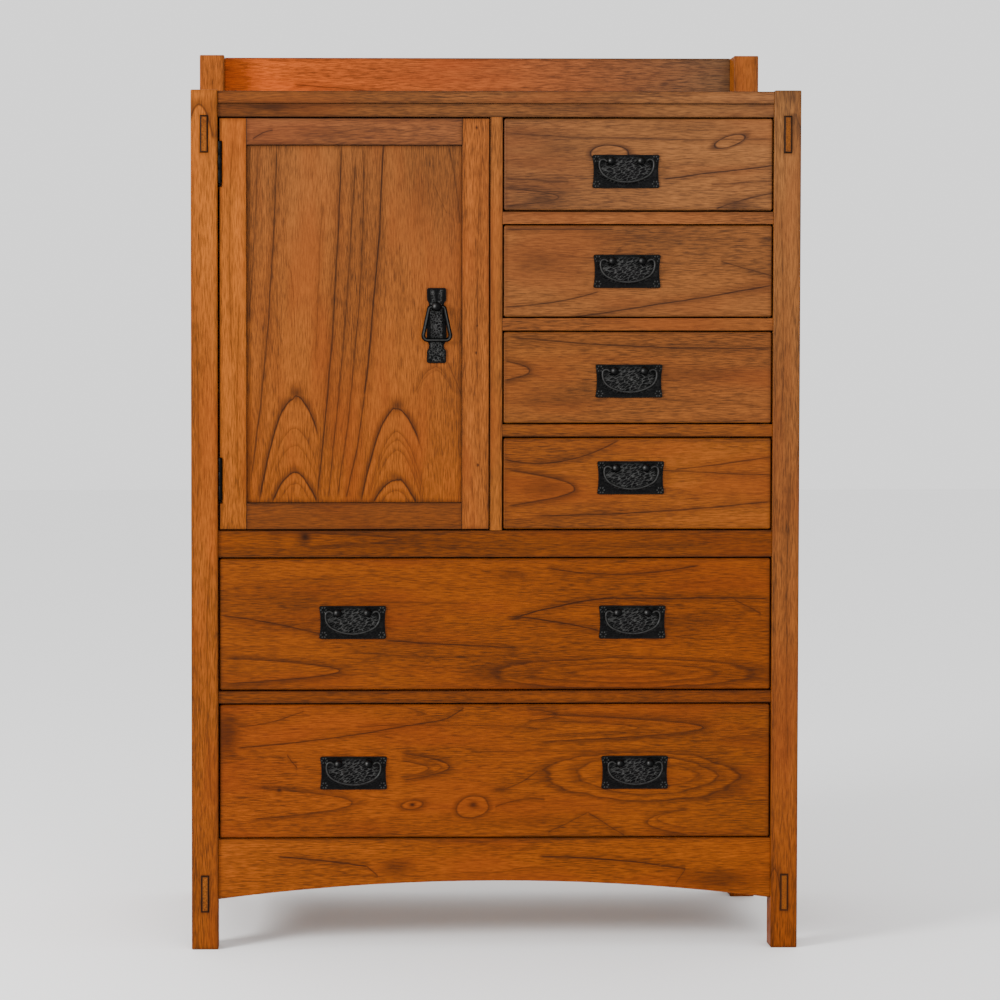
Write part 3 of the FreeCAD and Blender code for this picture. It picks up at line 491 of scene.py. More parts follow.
# Marks that show in each board, by kind: places along and across the grain, sizes, how dark.
# Lengths are in millimetres, and a ring's tilt is in millimetres to the metre.
FIGURE = {
    "small_drawer_1_front": {
        "vein": [
            (18.4, 1465.3, 495.2, 1456.3, -4.4, 1.5, 0.5), (299.8, 1384.5, 495.2, 1409.6, 0, 1.2, 0.75),
            (385.9, 1375.5, 495.2, 1382.7, 0, 1, 0.5), (18.4, 1386.3, 129.5, 1379.1, 0, 1.2, 0.5),
            (395, 1332, 495.2, 1359, 3, 1.6, 0.6)],
        "ring": [(418.7, 1452.7, 28, 10, 300, 1, 0.7), (203, 1430.3, 34.6, 16.1, 0, 1.2, 0.7)],
        "arch": [(112.5, 1352.4, 93, 15.5, 1.6, 0.55)],
        "smoke": [
            (86.5, 1349, 34.1, 14.3, 0.45), (427.1, 1340, 30.5, 12.6, 0.5), (117, 1436.6, 53.8, 21.5, 0.25),
            (350, 1476, 107.6, 12.6, 0.3)],
    },
    "small_drawer_2_front": {
        "vein": [
            (18.4, 1294.7, 210.2, 1294.7, 0, 1.2, 0.6), (18.4, 1156.5, 183.3, 1183.4, -5.5, 1.2, 0.6),
            (138.5, 1138.5, 495.2, 1194.2, -1.8, 1.4, 0.65), (403.8, 1237.3, 495.2, 1212.1, 0, 1.2, 0.55)],
        "smoke": [(260.4, 1282.2, 107.6, 12.6, 0.25), (81.1, 1235.5, 46.6, 17.9, 0.3)],
    },
    "small_drawer_3_front": {
        "vein": [(30.9, 1102.6, 495.2, 1082.9, -7.8, 1.4, 0.6), (287.3, 991.3, 495.2, 976.9, 0, 1, 0.35)],
        "arch": [(63.2, 1041.6, 44.8, 17, 1.4, 0.6)],
        "smoke": [(117, 991.3, 71.7, 16.1, 0.3), (368, 1038, 80.7, 14.3, 0.3)],
    },
    "small_drawer_4_front": {
        "vein": [
            (18.4, 881.8, 219.2, 915.9, -18.9, 1.4, 0.6), (299.8, 862, 495.2, 854.9, 0, 1.2, 0.55),
            (323.1, 863.8, 495.2, 887.2, 0, 1.2, 0.55), (75.7, 781.3, 495.2, 806.4, -5, 1.4, 0.6)],
        "arch": [(143.9, 831.5, 118.4, 31.4, 1.4, 0.6)],
        "smoke": [(90.1, 831.5, 44.8, 12.6, 0.3)],
    },
    "wide_drawer_1_front": {
        "vein": [
            (-489, 601.7, -304.3, 565.8, 4.2, 1.4, 0.6), (-196.8, 556.8, 36.3, 542.5, 0, 1.2, 0.6),
            (39.9, 599.9, 215.6, 634, 5, 1.4, 0.7), (210.2, 633.1, 489.9, 632.2, 0, 1.2, 0.6),
            (39.9, 599.9, 185.1, 574.8, 2.6, 1.4, 0.65), (-244.5, 625.6, -47.3, 625, 0, 1, 0.35),
            (-256.5, 537, 39.3, 531, -6, 1.1, 0.4), (430.7, 628.7, 478.6, 604.7, 0, 1.3, 0.5),
            (95.5, 686.1, 364.4, 691.5, -12.2, 1.2, 0.6)],
        "arch": [(-281, 503, 200.9, 23.3, 1.4, 0.55)],
        "ring": [
            (228.1, 497.6, 238.6, 26.9, 0, 1.4, 0.5), (228.1, 497.6, 170.4, 17, 0, 1.2, 0.4),
            (228.1, 497.6, 93.3, 8.1, 0, 1.2, 0.35)],
        "smoke": [
            (30, 676, 26, 11, 0.35), (40, 599, 10, 4.5, 0.65), (-367.1, 628.7, 89.7, 25.1, 0.22),
            (350, 589.2, 89.7, 17.9, 0.22)],
    },
    "wide_drawer_2_front": {
        "smoke": [
            (-481.8, 389.9, 25.1, 46.6, 0.55), (-388.6, 287.5, 7.5, 5.4, 0.75),
            (45.3, 230.1, 143.5, 10.8, 0.25), (108, 424, 10, 4, 0.6), (-148.9, 260.6, 6, 4, 0.75),
            (-39, 260, 9, 6.5, 0.6), (12.5, 287.5, 20, 7, 0.45), (-245, 264, 16, 6, 0.35)],
        "vein": [
            (-465.7, 362.9, -83.8, 416.8, -5.7, 1.4, 0.6), (-87.4, 415.9, -56.9, 434.8, 0, 1.4, 0.6),
            (-374.2, 350.4, -356.3, 327, 0, 1.4, 0.6), (-465.7, 401.2, -343.2, 430, -5, 1.3, 0.5),
            (-250, 401, 115, 395, 6, 1.1, 0.4), (-40, 356, 430, 354.5, 1.5, 1.1, 0.4),
            (0, 285, 78, 322, -6, 1.3, 0.5), (0, 256, 90, 270, 6, 1.2, 0.45),
            (167.7, 245.7, 233.5, 203.8, 0, 1.2, 0.5), (96.2, 209.8, 167.7, 245.7, 0, 1.2, 0.45)],
        "arch": [
            (113.4, 422.2, 53.8, 10.8, 1.2, 0.5), (376.9, 398.8, 296, 25.1, 1.4, 0.55),
            (260.4, 398.8, 161.4, 12.6, 1.2, 0.4), (-83.3, 329.3, 80, 24, 1.5, 0.55),
            (-98, 328, 64, 19, 0.9, 0.35), (-119.1, 326, 48, 14, 1.3, 0.45),
            (-256.5, 263.7, 170, 28, 1.4, 0.5), (275.3, 227.8, -70, 23, 1.3, 0.45),
            (295, 233, -50, 16, 1, 0.35)],
        "ring": [
            (-148.9, 260.6, 20, 8, 100, 1.2, 0.5), (-40.8, 256, 30, 20, 100, 1.3, 0.5),
            (265, 311, 175, 44, -30, 1.4, 0.5), (270, 313, 130, 33, -30, 1.2, 0.45),
            (280, 313, 85, 20, 0, 1.1, 0.35)],
    },
    "arched_rail": {
        "vein": [
            (-390.4, 167.3, -229, 149.3, 1.6, 1.4, 0.65), (-230.8, 149.3, -211.1, 131.3, 0, 1.4, 0.6),
            (81.1, 167.3, 301.6, 149.3, 3.1, 1.4, 0.65), (299.8, 149.3, 344.7, 143.9, 0, 1.4, 0.6),
            (326.7, 117, 344.7, 143.9, 0, 1.4, 0.5)],
        "smoke": [(-178.8, 147.5, 35.9, 14.3, 0.45), (409.2, 122.4, 64.6, 19.7, 0.45)],
    },
    "gallery_board": {
        "vein": [
            (-481.8, 1576.6, -354.5, 1564, 0, 1.4, 0.7), (-202.1, 1553.2, -151.9, 1547.9, 0, 1.4, 0.6),
            (-361.7, 1601.7, -134, 1580.2, 0.7, 1.2, 0.6), (-424.4, 1558.6, -349.1, 1569.4, 0, 1.2, 0.5)],
        "smoke": [
            (-291.8, 1551.5, 57.4, 4.7, 0.7), (-438.8, 1551.5, 39.5, 6.3, 0.6),
            (368, 1555, 71.7, 7.2, 0.35)],
        "arch": [(319.6, 1567.6, 39.5, 14.3, 1.4, 0.55)],
    },
    "mid_rail": {
        "smoke": [
            (-342, 744, 12, 10, 0.85), (-116.1, 734.6, 107.6, 9, 0.25), (260.4, 727.4, 125.6, 9, 0.25)],
        "arch": [(-169, 739, 165, 12, 1.2, 0.45)],
        "vein": [(-295.4, 727.4, 45.3, 722, 0, 1.2, 0.35)],
    },
    "door_panel": {
        "hook": [(994.7, -358, 179.4, 64.6, 1.6, 0.75), (972.1, -176, 161.4, 65.2, 1.6, 0.75)],
        "arch": [
            (938, -360, 118.4, 52, 0.9, 0.3), (908, -360, 92, 47, 0.9, 0.25),
            (859.4, -360, 50.2, 37.9, 1.5, 0.7), (840, -360, 30, 27, 0.8, 0.35),
            (930, -177, 112, 50, 0.9, 0.35), (916, -178, 98, 47, 0.8, 0.3), (898, -178, 86.1, 44, 0.9, 0.3),
            (848.2, -181, 41.3, 36.5, 1.5, 0.7), (830, -181, 25, 25, 0.8, 0.35),
            (1048.7, -110.2, 44.8, 34.8, 1.1, 0.35), (1042, -109, 40, 33, 0.9, 0.25)],
        "vein": [
            (854.9, -437.9, 1440.8, -393.8, 9.4, 1.4, 0.6), (1130, -442, 1440.8, -426, 2, 1.1, 0.45),
            (812, -320.8, 1445.3, -276.7, 6.9, 1.5, 0.65), (810.9, -301.4, 1418.2, -252, 5, 1.3, 0.55),
            (814.3, -283.5, 1436.2, -236.2, 11.5, 1.3, 0.55), (814.3, -267.8, 998, -235, 3, 1.4, 0.6),
            (995, -235.5, 1445.3, -201.6, 4, 1.6, 0.7), (1057.7, -321.7, 1341.5, -310.4, -2, 1, 0.35),
            (1305.6, -64.3, 1440.8, -83.3, 1.5, 1.3, 0.5), (1323.6, -87.7, 1377.7, -112.5, 0, 1, 0.4),
            (995, -60, 1056, -85, 0, 1.2, 0.45)],
        "smoke": [
            (1002, -357, 16, 13, 0.55), (979, -177, 14, 14, 0.55), (864, -360, 8, 14, 0.4),
            (852, -181, 8, 14, 0.4), (1390, -130, 90, 60, 0.22)],
    },
    "post_front_left": {
        "arch": [(1518.2, -530.2, 61, 25.1, 2.1, 0.6)],
        "vein": [
            (772.3, -535.6, 1131.3, -537.4, 4.5, 1.4, 0.35),
            (269.6, -510.5, 700.5, -512.3, -6.3, 1.4, 0.35)],
        "smoke": [(1512, -506.9, 21.5, 12.6, 0.4)],
    },
    "post_front_right": {
        "arch": [(1476, 545.4, -25.1, 9, 1.5, 0.5), (143.9, 504.2, 61, 14.3, 1.4, 0.5)],
        "vein": [
            (915.9, 511.4, 1346.8, 509.6, 4.5, 1.4, 0.35), (341.4, 527.5, 862, 529.3, -4.6, 1.4, 0.35)],
        "smoke": [(1529.9, 522.1, 9, 16.1, 0.35)],
    },
    "top_board": {
        "vein": [(117, 1528.1, 350, 1533.5, 0, 1.2, 0.4)],
    },
    "top_rail": {
        "smoke": [(-406.5, 1512, 46.6, 7.2, 0.5), (188.7, 1510.2, 89.7, 6.3, 0.3)],
    },
    "door_rails": {
        "vein": [(-435.2, 1454.5, -399.3, 1470.7, 2.7, 1.2, 0.6)],
        "smoke": [(-295.4, 1465.3, 71.7, 12.6, 0.25)],
    },
    "door_stile_hinge": {
        "vein": [
            (1059.5, -472.8, 1454.5, -471, -4.5, 1.2, 0.4),
            (808.2, -460.3, 1167.3, -458.5, -4.5, 1.2, 0.35)],
    },
    "door_stile_latch": {
        "smoke": [
            (1476, -35.4, 3.6, 2.9, 0.8), (1122.4, -33.6, 3.2, 2.5, 0.8), (1073.9, -35.4, 3.2, 2.5, 0.8),
            (872.8, -31.8, 3.2, 2.5, 0.8)],
        "vein": [(862, -28.2, 1436.6, -26.4, -6.4, 1.2, 0.35)],
    },
}


# Boards: grain axes, stain, seed, and the tone at the low and the high end of the grain,
# or at the foot and the head of a pair of rails. Each tone holds the board's own colour and
# painted light: the posts, the mullion, the door's stiles and panel and the pairs of rails are
# painted bluer and mostly lighter toward their heads, where light from above falls; other
# boards shade from one end of the grain to the other.
BOARDS = {
    "post_front_left": ("ZXY", "case", 1.3, (0.74, 0.69, 0.53), (1.11, 1.19, 1.42)),
    "post_front_right": ("ZXY", "case", 4.1, (0.72, 0.61, 0.27), (0.80, 1.27, 3.89)),
    "post_back_left": ("ZXY", "case", 7.9, (0.90, 0.80, 0.80), (1.10, 1.10, 1.40)),
    "post_back_right": ("ZXY", "case", 11.2, (0.90, 0.80, 0.80), (1.00, 1.10, 1.50)),
    "gallery_board": ("XZY", "case", 2.6, (1.93, 1.30, 0.80), (0.60, 1.16, 5.37)),
    "top_board": ("XZY", "case", 5.3, (0.51, 0.56, 1.02), (0.87, 1.35, 4.64)),
    "top_rail": ("XZY", "case", 6.7, (0.41, 0.48, 1.02), (0.64, 1.00, 3.46)),
    "mid_rail": ("XZY", "case", 8.8, (0.52, 0.47, 0.24), (0.52, 0.47, 0.24)),
    "lower_rail": ("XZY", "case", 9.4, (0.50, 0.44, 0.26), (0.50, 0.44, 0.26)),
    "arched_rail": ("XZY", "case", 3.6, (0.81, 0.73, 0.51), (0.77, 0.68, 0.29)),
    "drawer_rails": ("XZY", "case", 12.5, (0.63, 0.67, 0.86), (0.72, 0.93, 2.57)),
    "mullion": ("ZXY", "case", 10.1, (0.87, 0.99, 1.39), (0.91, 1.10, 2.16)),
    "side_rails_left": ("YZX", "case", 13.7, (0.80, 0.90, 1.10), (0.95, 0.90, 1.00)),
    "side_rails_right": ("YZX", "case", 14.9, (0.70, 0.80, 0.90), (0.95, 0.90, 1.00)),
    "side_panel_left": ("ZYX", "case", 15.2, (0.95, 0.90, 1.00), (0.95, 0.90, 1.00)),
    "side_panel_right": ("ZYX", "case", 16.4, (0.95, 0.90, 1.00), (0.95, 0.90, 1.00)),
    "back_panel": ("ZXY", "inside", 17.3, (0.80, 0.75, 0.70), (0.80, 0.75, 0.70)),
    "back_rails": ("XZY", "case", 18.5, (0.80, 0.75, 0.80), (0.80, 0.75, 0.80)),
    "partition": ("ZYX", "inside", 19.1, (1.0, 1.0, 1.0), (1.0, 1.0, 1.0)),
    "cupboard_floor": ("XYZ", "inside", 20.6, (1.0, 1.0, 1.0), (1.0, 1.0, 1.0)),
    "shelves": ("XYZ", "inside", 21.8, (1.05, 1.0, 1.0), (1.05, 1.0, 1.0)),
    "shelf_cleats": ("YZX", "inside", 22.2, (0.95, 0.95, 0.95), (0.95, 0.95, 0.95)),
    "drawer_runners": ("YZX", "inside", 23.9, (0.95, 0.95, 0.95), (0.95, 0.95, 0.95)),
    "door_catch": ("ZYX", "inside", 24.4, (1.0, 1.0, 1.0), (1.0, 1.0, 1.0)),
    "door_stile_hinge": ("ZXY", "door", 25.5, (1.01, 1.03, 0.91), (1.06, 1.14, 1.29)),
    "door_stile_latch": ("ZXY", "door", 26.3, (0.92, 1.00, 1.44), (0.97, 1.06, 1.73)),
    "door_rails": ("XZY", "door", 27.7, (0.41, 0.41, 0.48), (0.64, 0.84, 2.73)),
    "door_panel": ("ZXY", "door", 28.1, (0.82, 0.80, 0.69), (0.72, 0.93, 2.08)),
    "small_drawer_1_front": ("XZY", "drawers", 29.6, (0.60, 0.95, 3.82), (0.91, 1.44, 5.17)),
    "small_drawer_2_front": ("XZY", "drawers", 31.2, (0.73, 1.04, 3.12), (0.73, 1.04, 3.12)),
    "small_drawer_3_front": ("XZY", "drawers", 33.4, (0.72, 0.93, 1.98), (0.77, 0.98, 2.38)),
    "small_drawer_4_front": ("XZY", "drawers", 35.8, (0.66, 0.70, 0.94), (0.88, 0.98, 1.32)),
    "wide_drawer_1_front": ("XZY", "drawers", 37.1, (0.65, 0.62, 0.45), (0.72, 0.65, 0.26)),
    "wide_drawer_2_front": ("XZY", "drawers", 39.5, (0.82, 0.72, 0.42), (0.71, 0.69, 0.41)),
}
# The rails whose tenons show in a post, or are a solid's own
TENONED = {
    "post_front_left": "side_rails_left", "side_rails_left": "side_rails_left",
    "post_front_right": "side_rails_right", "side_rails_right": "side_rails_right",
}
# Axes across which a kind of board has dark glazing and painted shade at its ends; the last word in its
# name counts
GLAZED_AND_SHADED = {
    "post": "X", "rail": "Z", "board": "Z", "mullion": "X", "stile": "XZ", "front": "XZ",
}


def solid_ends(node, axes):
    low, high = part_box(node)
    found = []
    for axis in axes:
        index = "XYZ".index(axis)
        found += [(axis, low[index]), (axis, high[index])]
    return found


def tenon_ends(node):
    """The places of the two tenons' ends in the front face of a front post."""
    verts = frame["nodes"][TENONED[node]].data.vertices
    front_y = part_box(TENONED[node])[0].y
    face = [vert.co for vert in verts if abs(vert.co.y - front_y) < TINY]
    middle_z = (min(place.z for place in face) + max(place.z for place in face)) / 2
    found = []
    for above in (True, False):
        part = [place for place in face if (place.z > middle_z) == above]
        low = Vector(min(place[axis] for place in part) for axis in range(3))
        high = Vector(max(place[axis] for place in part) for axis in range(3))
        found.append((low, high))
    return found


def dress(node, material, ease):
    """Give a solid its finish, and ease its edges."""
    piece = frame["nodes"][node]
    piece.data.materials.clear()
    piece.data.materials.append(material)
    weld = piece.modifiers.new("Weld", "WELD")
    weld.merge_threshold = TINY
    bevel = piece.modifiers.new("Eased edges", "BEVEL")
    bevel.width = ease
    bevel.segments = 2
    bevel.limit_method = "ANGLE"
    bevel.angle_limit = math.radians(35)


def panel_edges():
    """The planes where the door's frame meets its panel."""
    verts = frame["nodes"]["door_rails"].data.vertices
    low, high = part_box("door_rails")
    middle_z = (low.z + high.z) / 2
    return [
        ("X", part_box("door_stile_hinge")[1].x), ("X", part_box("door_stile_latch")[0].x),
        ("Z", max(vert.co.z for vert in verts if vert.co.z < middle_z)),
        ("Z", min(vert.co.z for vert in verts if vert.co.z > middle_z))]


def dress_boards(*nodes):
    settings = bpy.context.scene.door_chest_stain
    for node in nodes:
        grain, stain, seed, low_end_tone_and_light, high_end_tone_and_light = BOARDS[node]
        joints = []
        if stain != "inside":
            for word, axes in GLAZED_AND_SHADED.items():
                if word in node:
                    joints = solid_ends(node, axes)
        # Painted shadow where the door's stiles and rails stand over the recessed panel.
        if node in ("door_rails", "door_panel"):
            joints += panel_edges()
        # Painted shade in the gap round each tenon's end in a front post.
        outlines = tenon_ends(node) if node in TENONED else ()
        colour = getattr(settings, stain)
        shading = "Z" if node in ("door_rails", "drawer_rails") else grain[0]
        # Both ends carry the board's tone and painted light.
        tone_and_light_ends = []
        for (axis, place), tone in zip(solid_ends(node, shading), (low_end_tone_and_light, high_end_tone_and_light)):
            tone_and_light_ends.append((axis, place, tuple(value * gain for value, gain in zip(colour, tone))))
        material = stained_oak(
            node + "_wood", grain, tone_and_light_ends, seed, 0.25 if stain == "inside" else 0.5,
            FIGURE.get(node), joints, outlines)
        dress(node, material, settings.ease)


class DOORCHEST_OT_posts(bpy.types.Operator):
    """Dress the four posts, with dark glazing and painted shade round the tenons in the front ones"""
    bl_idname = "doorchest.posts"
    bl_label = "Posts"

    def execute(self, context):
        dress_boards("post_front_left", "post_front_right", "post_back_left", "post_back_right")
        return {"FINISHED"}


class DOORCHEST_OT_front_rails(bpy.types.Operator):
    """Dress the rails and the mullion of the front"""
    bl_idname = "doorchest.front_rails"
    bl_label = "Front rails"

    def execute(self, context):
        dress_boards("top_rail", "mid_rail", "lower_rail", "arched_rail", "drawer_rails", "mullion")
        return {"FINISHED"}


class DOORCHEST_OT_top_boards(bpy.types.Operator):
    """Dress the top board and the gallery board"""
    bl_idname = "doorchest.top_boards"
    bl_label = "Top and gallery"

    def execute(self, context):
        dress_boards("top_board", "gallery_board")
        return {"FINISHED"}


class DOORCHEST_OT_sides_and_back(bpy.types.Operator):
    """Dress the side and back panels and their rails"""
    bl_idname = "doorchest.sides_and_back"
    bl_label = "Sides and back"

    def execute(self, context):
        dress_boards("side_panel_left", "side_panel_right", "side_rails_left", "side_rails_right")
        dress_boards("back_panel", "back_rails")
        return {"FINISHED"}


class DOORCHEST_OT_inside(bpy.types.Operator):
    """Dress the partition, the floor, the shelves and the drawer runners"""
    bl_idname = "doorchest.inside"
    bl_label = "Inside"

    def execute(self, context):
        dress_boards("partition", "cupboard_floor", "shelves", "shelf_cleats")
        dress_boards("drawer_runners", "door_catch")
        return {"FINISHED"}


class DOORCHEST_OT_door(bpy.types.Operator):
    """Dress the door's stiles, rails and panel"""
    bl_idname = "doorchest.door"
    bl_label = "Door"

    def execute(self, context):
        dress_boards("door_stile_hinge", "door_stile_latch", "door_rails", "door_panel")
        return {"FINISHED"}


def drawers():
    found = [joint["child"] for joint in frame["joints"] if joint["name"].endswith("_slide")]
    if not found:
        raise RuntimeError("the frame has no sliding drawer")
    return found


class DOORCHEST_OT_drawers(bpy.types.Operator):
    """Dress the drawer fronts and the drawer boxes"""
    bl_idname = "doorchest.drawers"
    bl_label = "Drawers"

    def execute(self, context):
        settings = context.scene.door_chest_stain
        for number, drawer in enumerate(drawers()):
            dress_boards(drawer + "_front")
            tone_and_light_ends = [(*end, tuple(settings.inside)) for end in solid_ends(drawer + "_box", "Y")]
            wood = stained_oak(drawer + "_box_wood", "YZX", tone_and_light_ends, 41.7 + 1.9 * number, 0.2)
            dress(drawer + "_box", wood, settings.ease)
        return {"FINISHED"}


# Metalwork: each piece is made about its pivot, then set at the joint's place.
# A bail's stub turns in the hole drilled across a ball, and a shoulder joins it to the rod.
HOLE_RADIUS, STUB_RADIUS, STUB_LENGTH, SHOULDER = 1.65 * MM, 1.5 * MM, 5.0 * MM, 0.35 * MM
RIDGE_WIDTH = 0.16


def carried_on(shape, edges, move=(0.0, 0.0, 0.0), grow=1.0):
    """Extrudes a ring of edges, moves the new ring and grows it about its own middle."""
    made = bmesh.ops.extrude_edge_only(shape, edges=edges)["geom"]
    verts = [part for part in made if isinstance(part, bmesh.types.BMVert)]
    middle = sum((vert.co for vert in verts), Vector()) / len(verts)
    for vert in verts:
        vert.co = middle + (vert.co - middle) * grow + Vector(move)
    fresh = set(verts)
    return [
        part for part in made
        if isinstance(part, bmesh.types.BMEdge) and fresh.issuperset(part.verts)]


def closed(shape, edges):
    bmesh.ops.contextual_create(shape, geom=edges)


def verts_of(edges):
    return {vert for edge in edges for vert in edge.verts}


def edges_of(verts):
    return {edge for vert in verts for edge in vert.link_edges}


def new_shape():
    shape = bmesh.new()
    return shape, shape.verts.layers.float.new("worn")


def put(name, shape, body, *nodes):
    """Finish a shape in blackened iron with its wear and painted highlights,
    on its body and in place of its plain solid.
    """
    bmesh.ops.recalc_face_normals(shape, faces=shape.faces)
    mesh = bpy.data.meshes.new(name)
    shape.to_mesh(mesh)
    shape.free()
    mesh.materials.append(bpy.data.materials.get(IRON) or blackened_iron(IRON, "worn"))
    for face in mesh.polygons:
        face.use_smooth = True
    mesh.set_sharp_from_angle(angle=math.radians(50))
    piece = bpy.data.objects.new(name, mesh)
    bpy.context.scene.collection.objects.link(piece)
    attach(piece, body)
    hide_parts(*nodes)


def raised_plate(shape, worn, centre, half_x, half_z, corner, thick, relief):
    """A flat plate with a worked front; relief gives the rise and the wear at each place."""
    step = bpy.context.scene.door_chest_iron.mesh_step
    columns = math.ceil(2 * half_x(half_z) / step)
    rows = math.ceil(2 * half_z / step)
    grid = bmesh.ops.create_grid(shape, x_segments=columns, y_segments=rows, size=1.0)["verts"]
    for vert in grid:
        z = vert.co.y * half_z
        wide = half_x(z)
        x = vert.co.x * wide
        edge = min(wide - abs(x), half_z - abs(z))
        past_x = (abs(x) - wide) / corner + 1
        past_z = (abs(z) - half_z) / corner + 1
        if past_x > 0 and past_z > 0:
            round_x = past_x * math.sqrt(1 - past_z ** 2 / 2)
            round_z = past_z * math.sqrt(1 - past_x ** 2 / 2)
            x = math.copysign(wide + (round_x - 1) * corner, x)
            z = math.copysign(half_z + (round_z - 1) * corner, z)
            edge = corner * (1 - math.hypot(round_x, round_z))
        rise, wear = relief(x, z, edge)
        vert.co = centre + Vector((x, -rise, z))
        vert[worn] = wear
    border = [edge for edge in edges_of(grid) if edge.is_boundary]
    back = carried_on(shape, border)
    for vert in verts_of(back):
        vert.co.y = centre.y + thick
        vert[worn] = 0.0
    closed(shape, back)


def near(gap, width):
    """1 where the gap is nothing, falling to 0 a few widths away."""
    return math.exp(-(gap / width) ** 2)


def within(past, softness):
    """1 inside a border and 0 past it, with a soft step between."""
    return 1 / (1 + math.exp(past / softness))


def clamped(share):
    return min(max(share, 0.0), 1.0)


def hammer_ridge(x, z, long, short, slant, seed):
    """How near a place is to the ridge between two hammer marks, from 0 to 1."""
    run = (x * math.cos(slant) + z * math.sin(slant)) / long
    rise = (z * math.cos(slant) - x * math.sin(slant)) / short
    distances, _ = noise.voronoi(Vector((run, rise, seed)))
    return near(distances[1] - distances[0], RIDGE_WIDTH)


def rim_bead(edge, width):
    return near(edge - 0.9 * width, 0.5 * width)


def paint_highlight_and_wear(worn, verts, outward, keen, strongest):
    """A painted highlight, with wear where hands rub: the side of a round piece that faces outward is made
    lighter.
    """
    outward = Vector(outward).normalized()
    for vert in verts:
        vert.normal_update()
        vert[worn] = strongest * max(vert.normal.dot(outward), 0.0) ** keen


def drilled_ball(shape, worn, place, radius, sides):
    """A turned ball, drilled from the named sides for the stub of a bail."""
    bands = 2 * round(math.pi / math.asin(HOLE_RADIUS / radius))
    made = bmesh.ops.create_uvsphere(
        shape, u_segments=28, v_segments=bands, radius=radius,
        matrix=Matrix.Translation(place) @ Matrix.Rotation(math.radians(90), 4, "Y"))["verts"]
    # Painted highlight on the ball's upper left side, where the key light's glint falls.
    paint_highlight_and_wear(worn, made, (-0.68, -0.72, 0.20), 9, 0.55)
    for side in sides:
        cap = [
            vert for vert in made
            if vert.is_valid and side * (vert.co.x - place.x) > 0
            and math.hypot(vert.co.y - place.y, vert.co.z - place.z) < 0.9 * HOLE_RADIUS]
        bmesh.ops.delete(shape, geom=cap, context="VERTS")
        rim = [
            edge for edge in shape.edges
            if edge.is_boundary and (edge.verts[0].co - place).length < 1.01 * radius
            and side * (edge.verts[0].co.x - place.x) > 0]
        closed(shape, carried_on(shape, rim, (-side * 0.85 * radius, 0.0, 0.0)))


def ball_post(shape, worn, place, radius, neck, back_y, sides):
    """A drilled ball on a waisted neck, with a collar on the plate."""
    drilled_ball(shape, worn, place, radius, sides)
    turned = Matrix.Translation(place + Vector((0.0, 0.62 * radius, 0.0)))
    turned = turned @ Matrix.Rotation(math.radians(-90), 4, "X")
    foot = bmesh.ops.create_circle(shape, segments=24, radius=neck, matrix=turned)["verts"]
    ring = list(edges_of(foot))
    deep = back_y - 0.62 * radius
    for share, grow in ((0.45, 0.88), (0.30, 1.20), (0.10, 1.45), (0.15, 1.0)):
        ring = carried_on(shape, ring, (0.0, share * deep, 0.0), grow)


def bent_bar(shape, start_x, radius, power, steps, last_turn):
    """A bar from its stub to the middle line; each step is a size and a right turn.
    The power squares up its round section: 2 leaves it round."""
    sides = bpy.context.scene.door_chest_iron.rod_sides
    turned = Matrix.Translation((start_x - STUB_LENGTH, 0.0, 0.0))
    turned = turned @ Matrix.Rotation(math.radians(90), 4, "Y")
    stub = bmesh.ops.create_circle(
        shape, segments=sides, radius=STUB_RADIUS, cap_ends=True, matrix=turned)["verts"]
    ring = list(edges_of(stub))
    ring = carried_on(shape, ring, (STUB_LENGTH, 0.0, 0.0))
    ring = carried_on(shape, ring, (0.0, 0.0, 0.0), 0.75 * radius / STUB_RADIUS)
    ring = carried_on(shape, ring, (SHOULDER, 0.0, 0.0), 1 / 0.75)
    for vert in verts_of(ring):
        y, z = abs(vert.co.y) / radius, abs(vert.co.z) / radius
        vert.co.yz = Vector(vert.co.yz) / (y ** power + z ** power) ** (1 / power)
    place, heading = Vector((start_x + SHOULDER, 0.0, 0.0)), 0.0

    def go(size, turn):
        nonlocal ring, place, heading
        if not turn:
            move = Vector((math.cos(heading), 0.0, math.sin(heading))) * size
            ring = carried_on(shape, ring, move)
            place = place + move
            return
        reach = math.copysign(size, turn)
        centre = place + Vector((math.sin(heading), 0.0, -math.cos(heading))) * reach
        made = bmesh.ops.spin(
            shape, geom=ring, cent=centre, axis=(0.0, 1.0, 0.0),
            angle=math.radians(turn), steps=math.ceil(abs(turn) / 9))["geom_last"]
        ring = [part for part in made if isinstance(part, bmesh.types.BMEdge)]
        heading -= math.radians(turn)
        place = centre - Vector((math.sin(heading), 0.0, -math.cos(heading))) * reach

    for size, turn in steps:
        go(size, turn)
    go(-place.x / math.sin(heading) if last_turn else place.x, last_turn)
    for vert in verts_of(ring):
        vert.co.x = 0.0
    whole = shape.verts[:] + shape.edges[:] + shape.faces[:]
    bmesh.ops.mirror(shape, geom=whole, merge_dist=TINY, axis="X")
    bmesh.ops.remove_doubles(shape, verts=shape.verts, dist=TINY)
    bmesh.ops.recalc_face_normals(shape, faces=shape.faces)


def swings(word):
    found = [
        joint for joint in frame["joints"]
        if word in joint["name"] and joint["name"].endswith("_swing")]
    if not found:
        raise RuntimeError("the frame has no joint for the %s" % word)
    return found


def corner_flower(x, z, half_w, half_z):
    """A punched flower in each corner: how much it covers a place, its petals and its eye."""
    out_x, out_z = abs(x) - (half_w - 8.5 * MM), abs(z) - (half_z - 7.5 * MM)
    reach = math.hypot(out_x, out_z)
    if reach > 10 * MM:
        return 0.0, 0.0, 0.0
    petals = 0.5 + 0.5 * math.cos(6 * math.atan2(out_z, out_x))
    petals *= near(reach - 4.6 * MM, 1.7 * MM)
    return within(reach - 7.0 * MM, 0.5 * MM), petals, near(reach, 2.1 * MM)


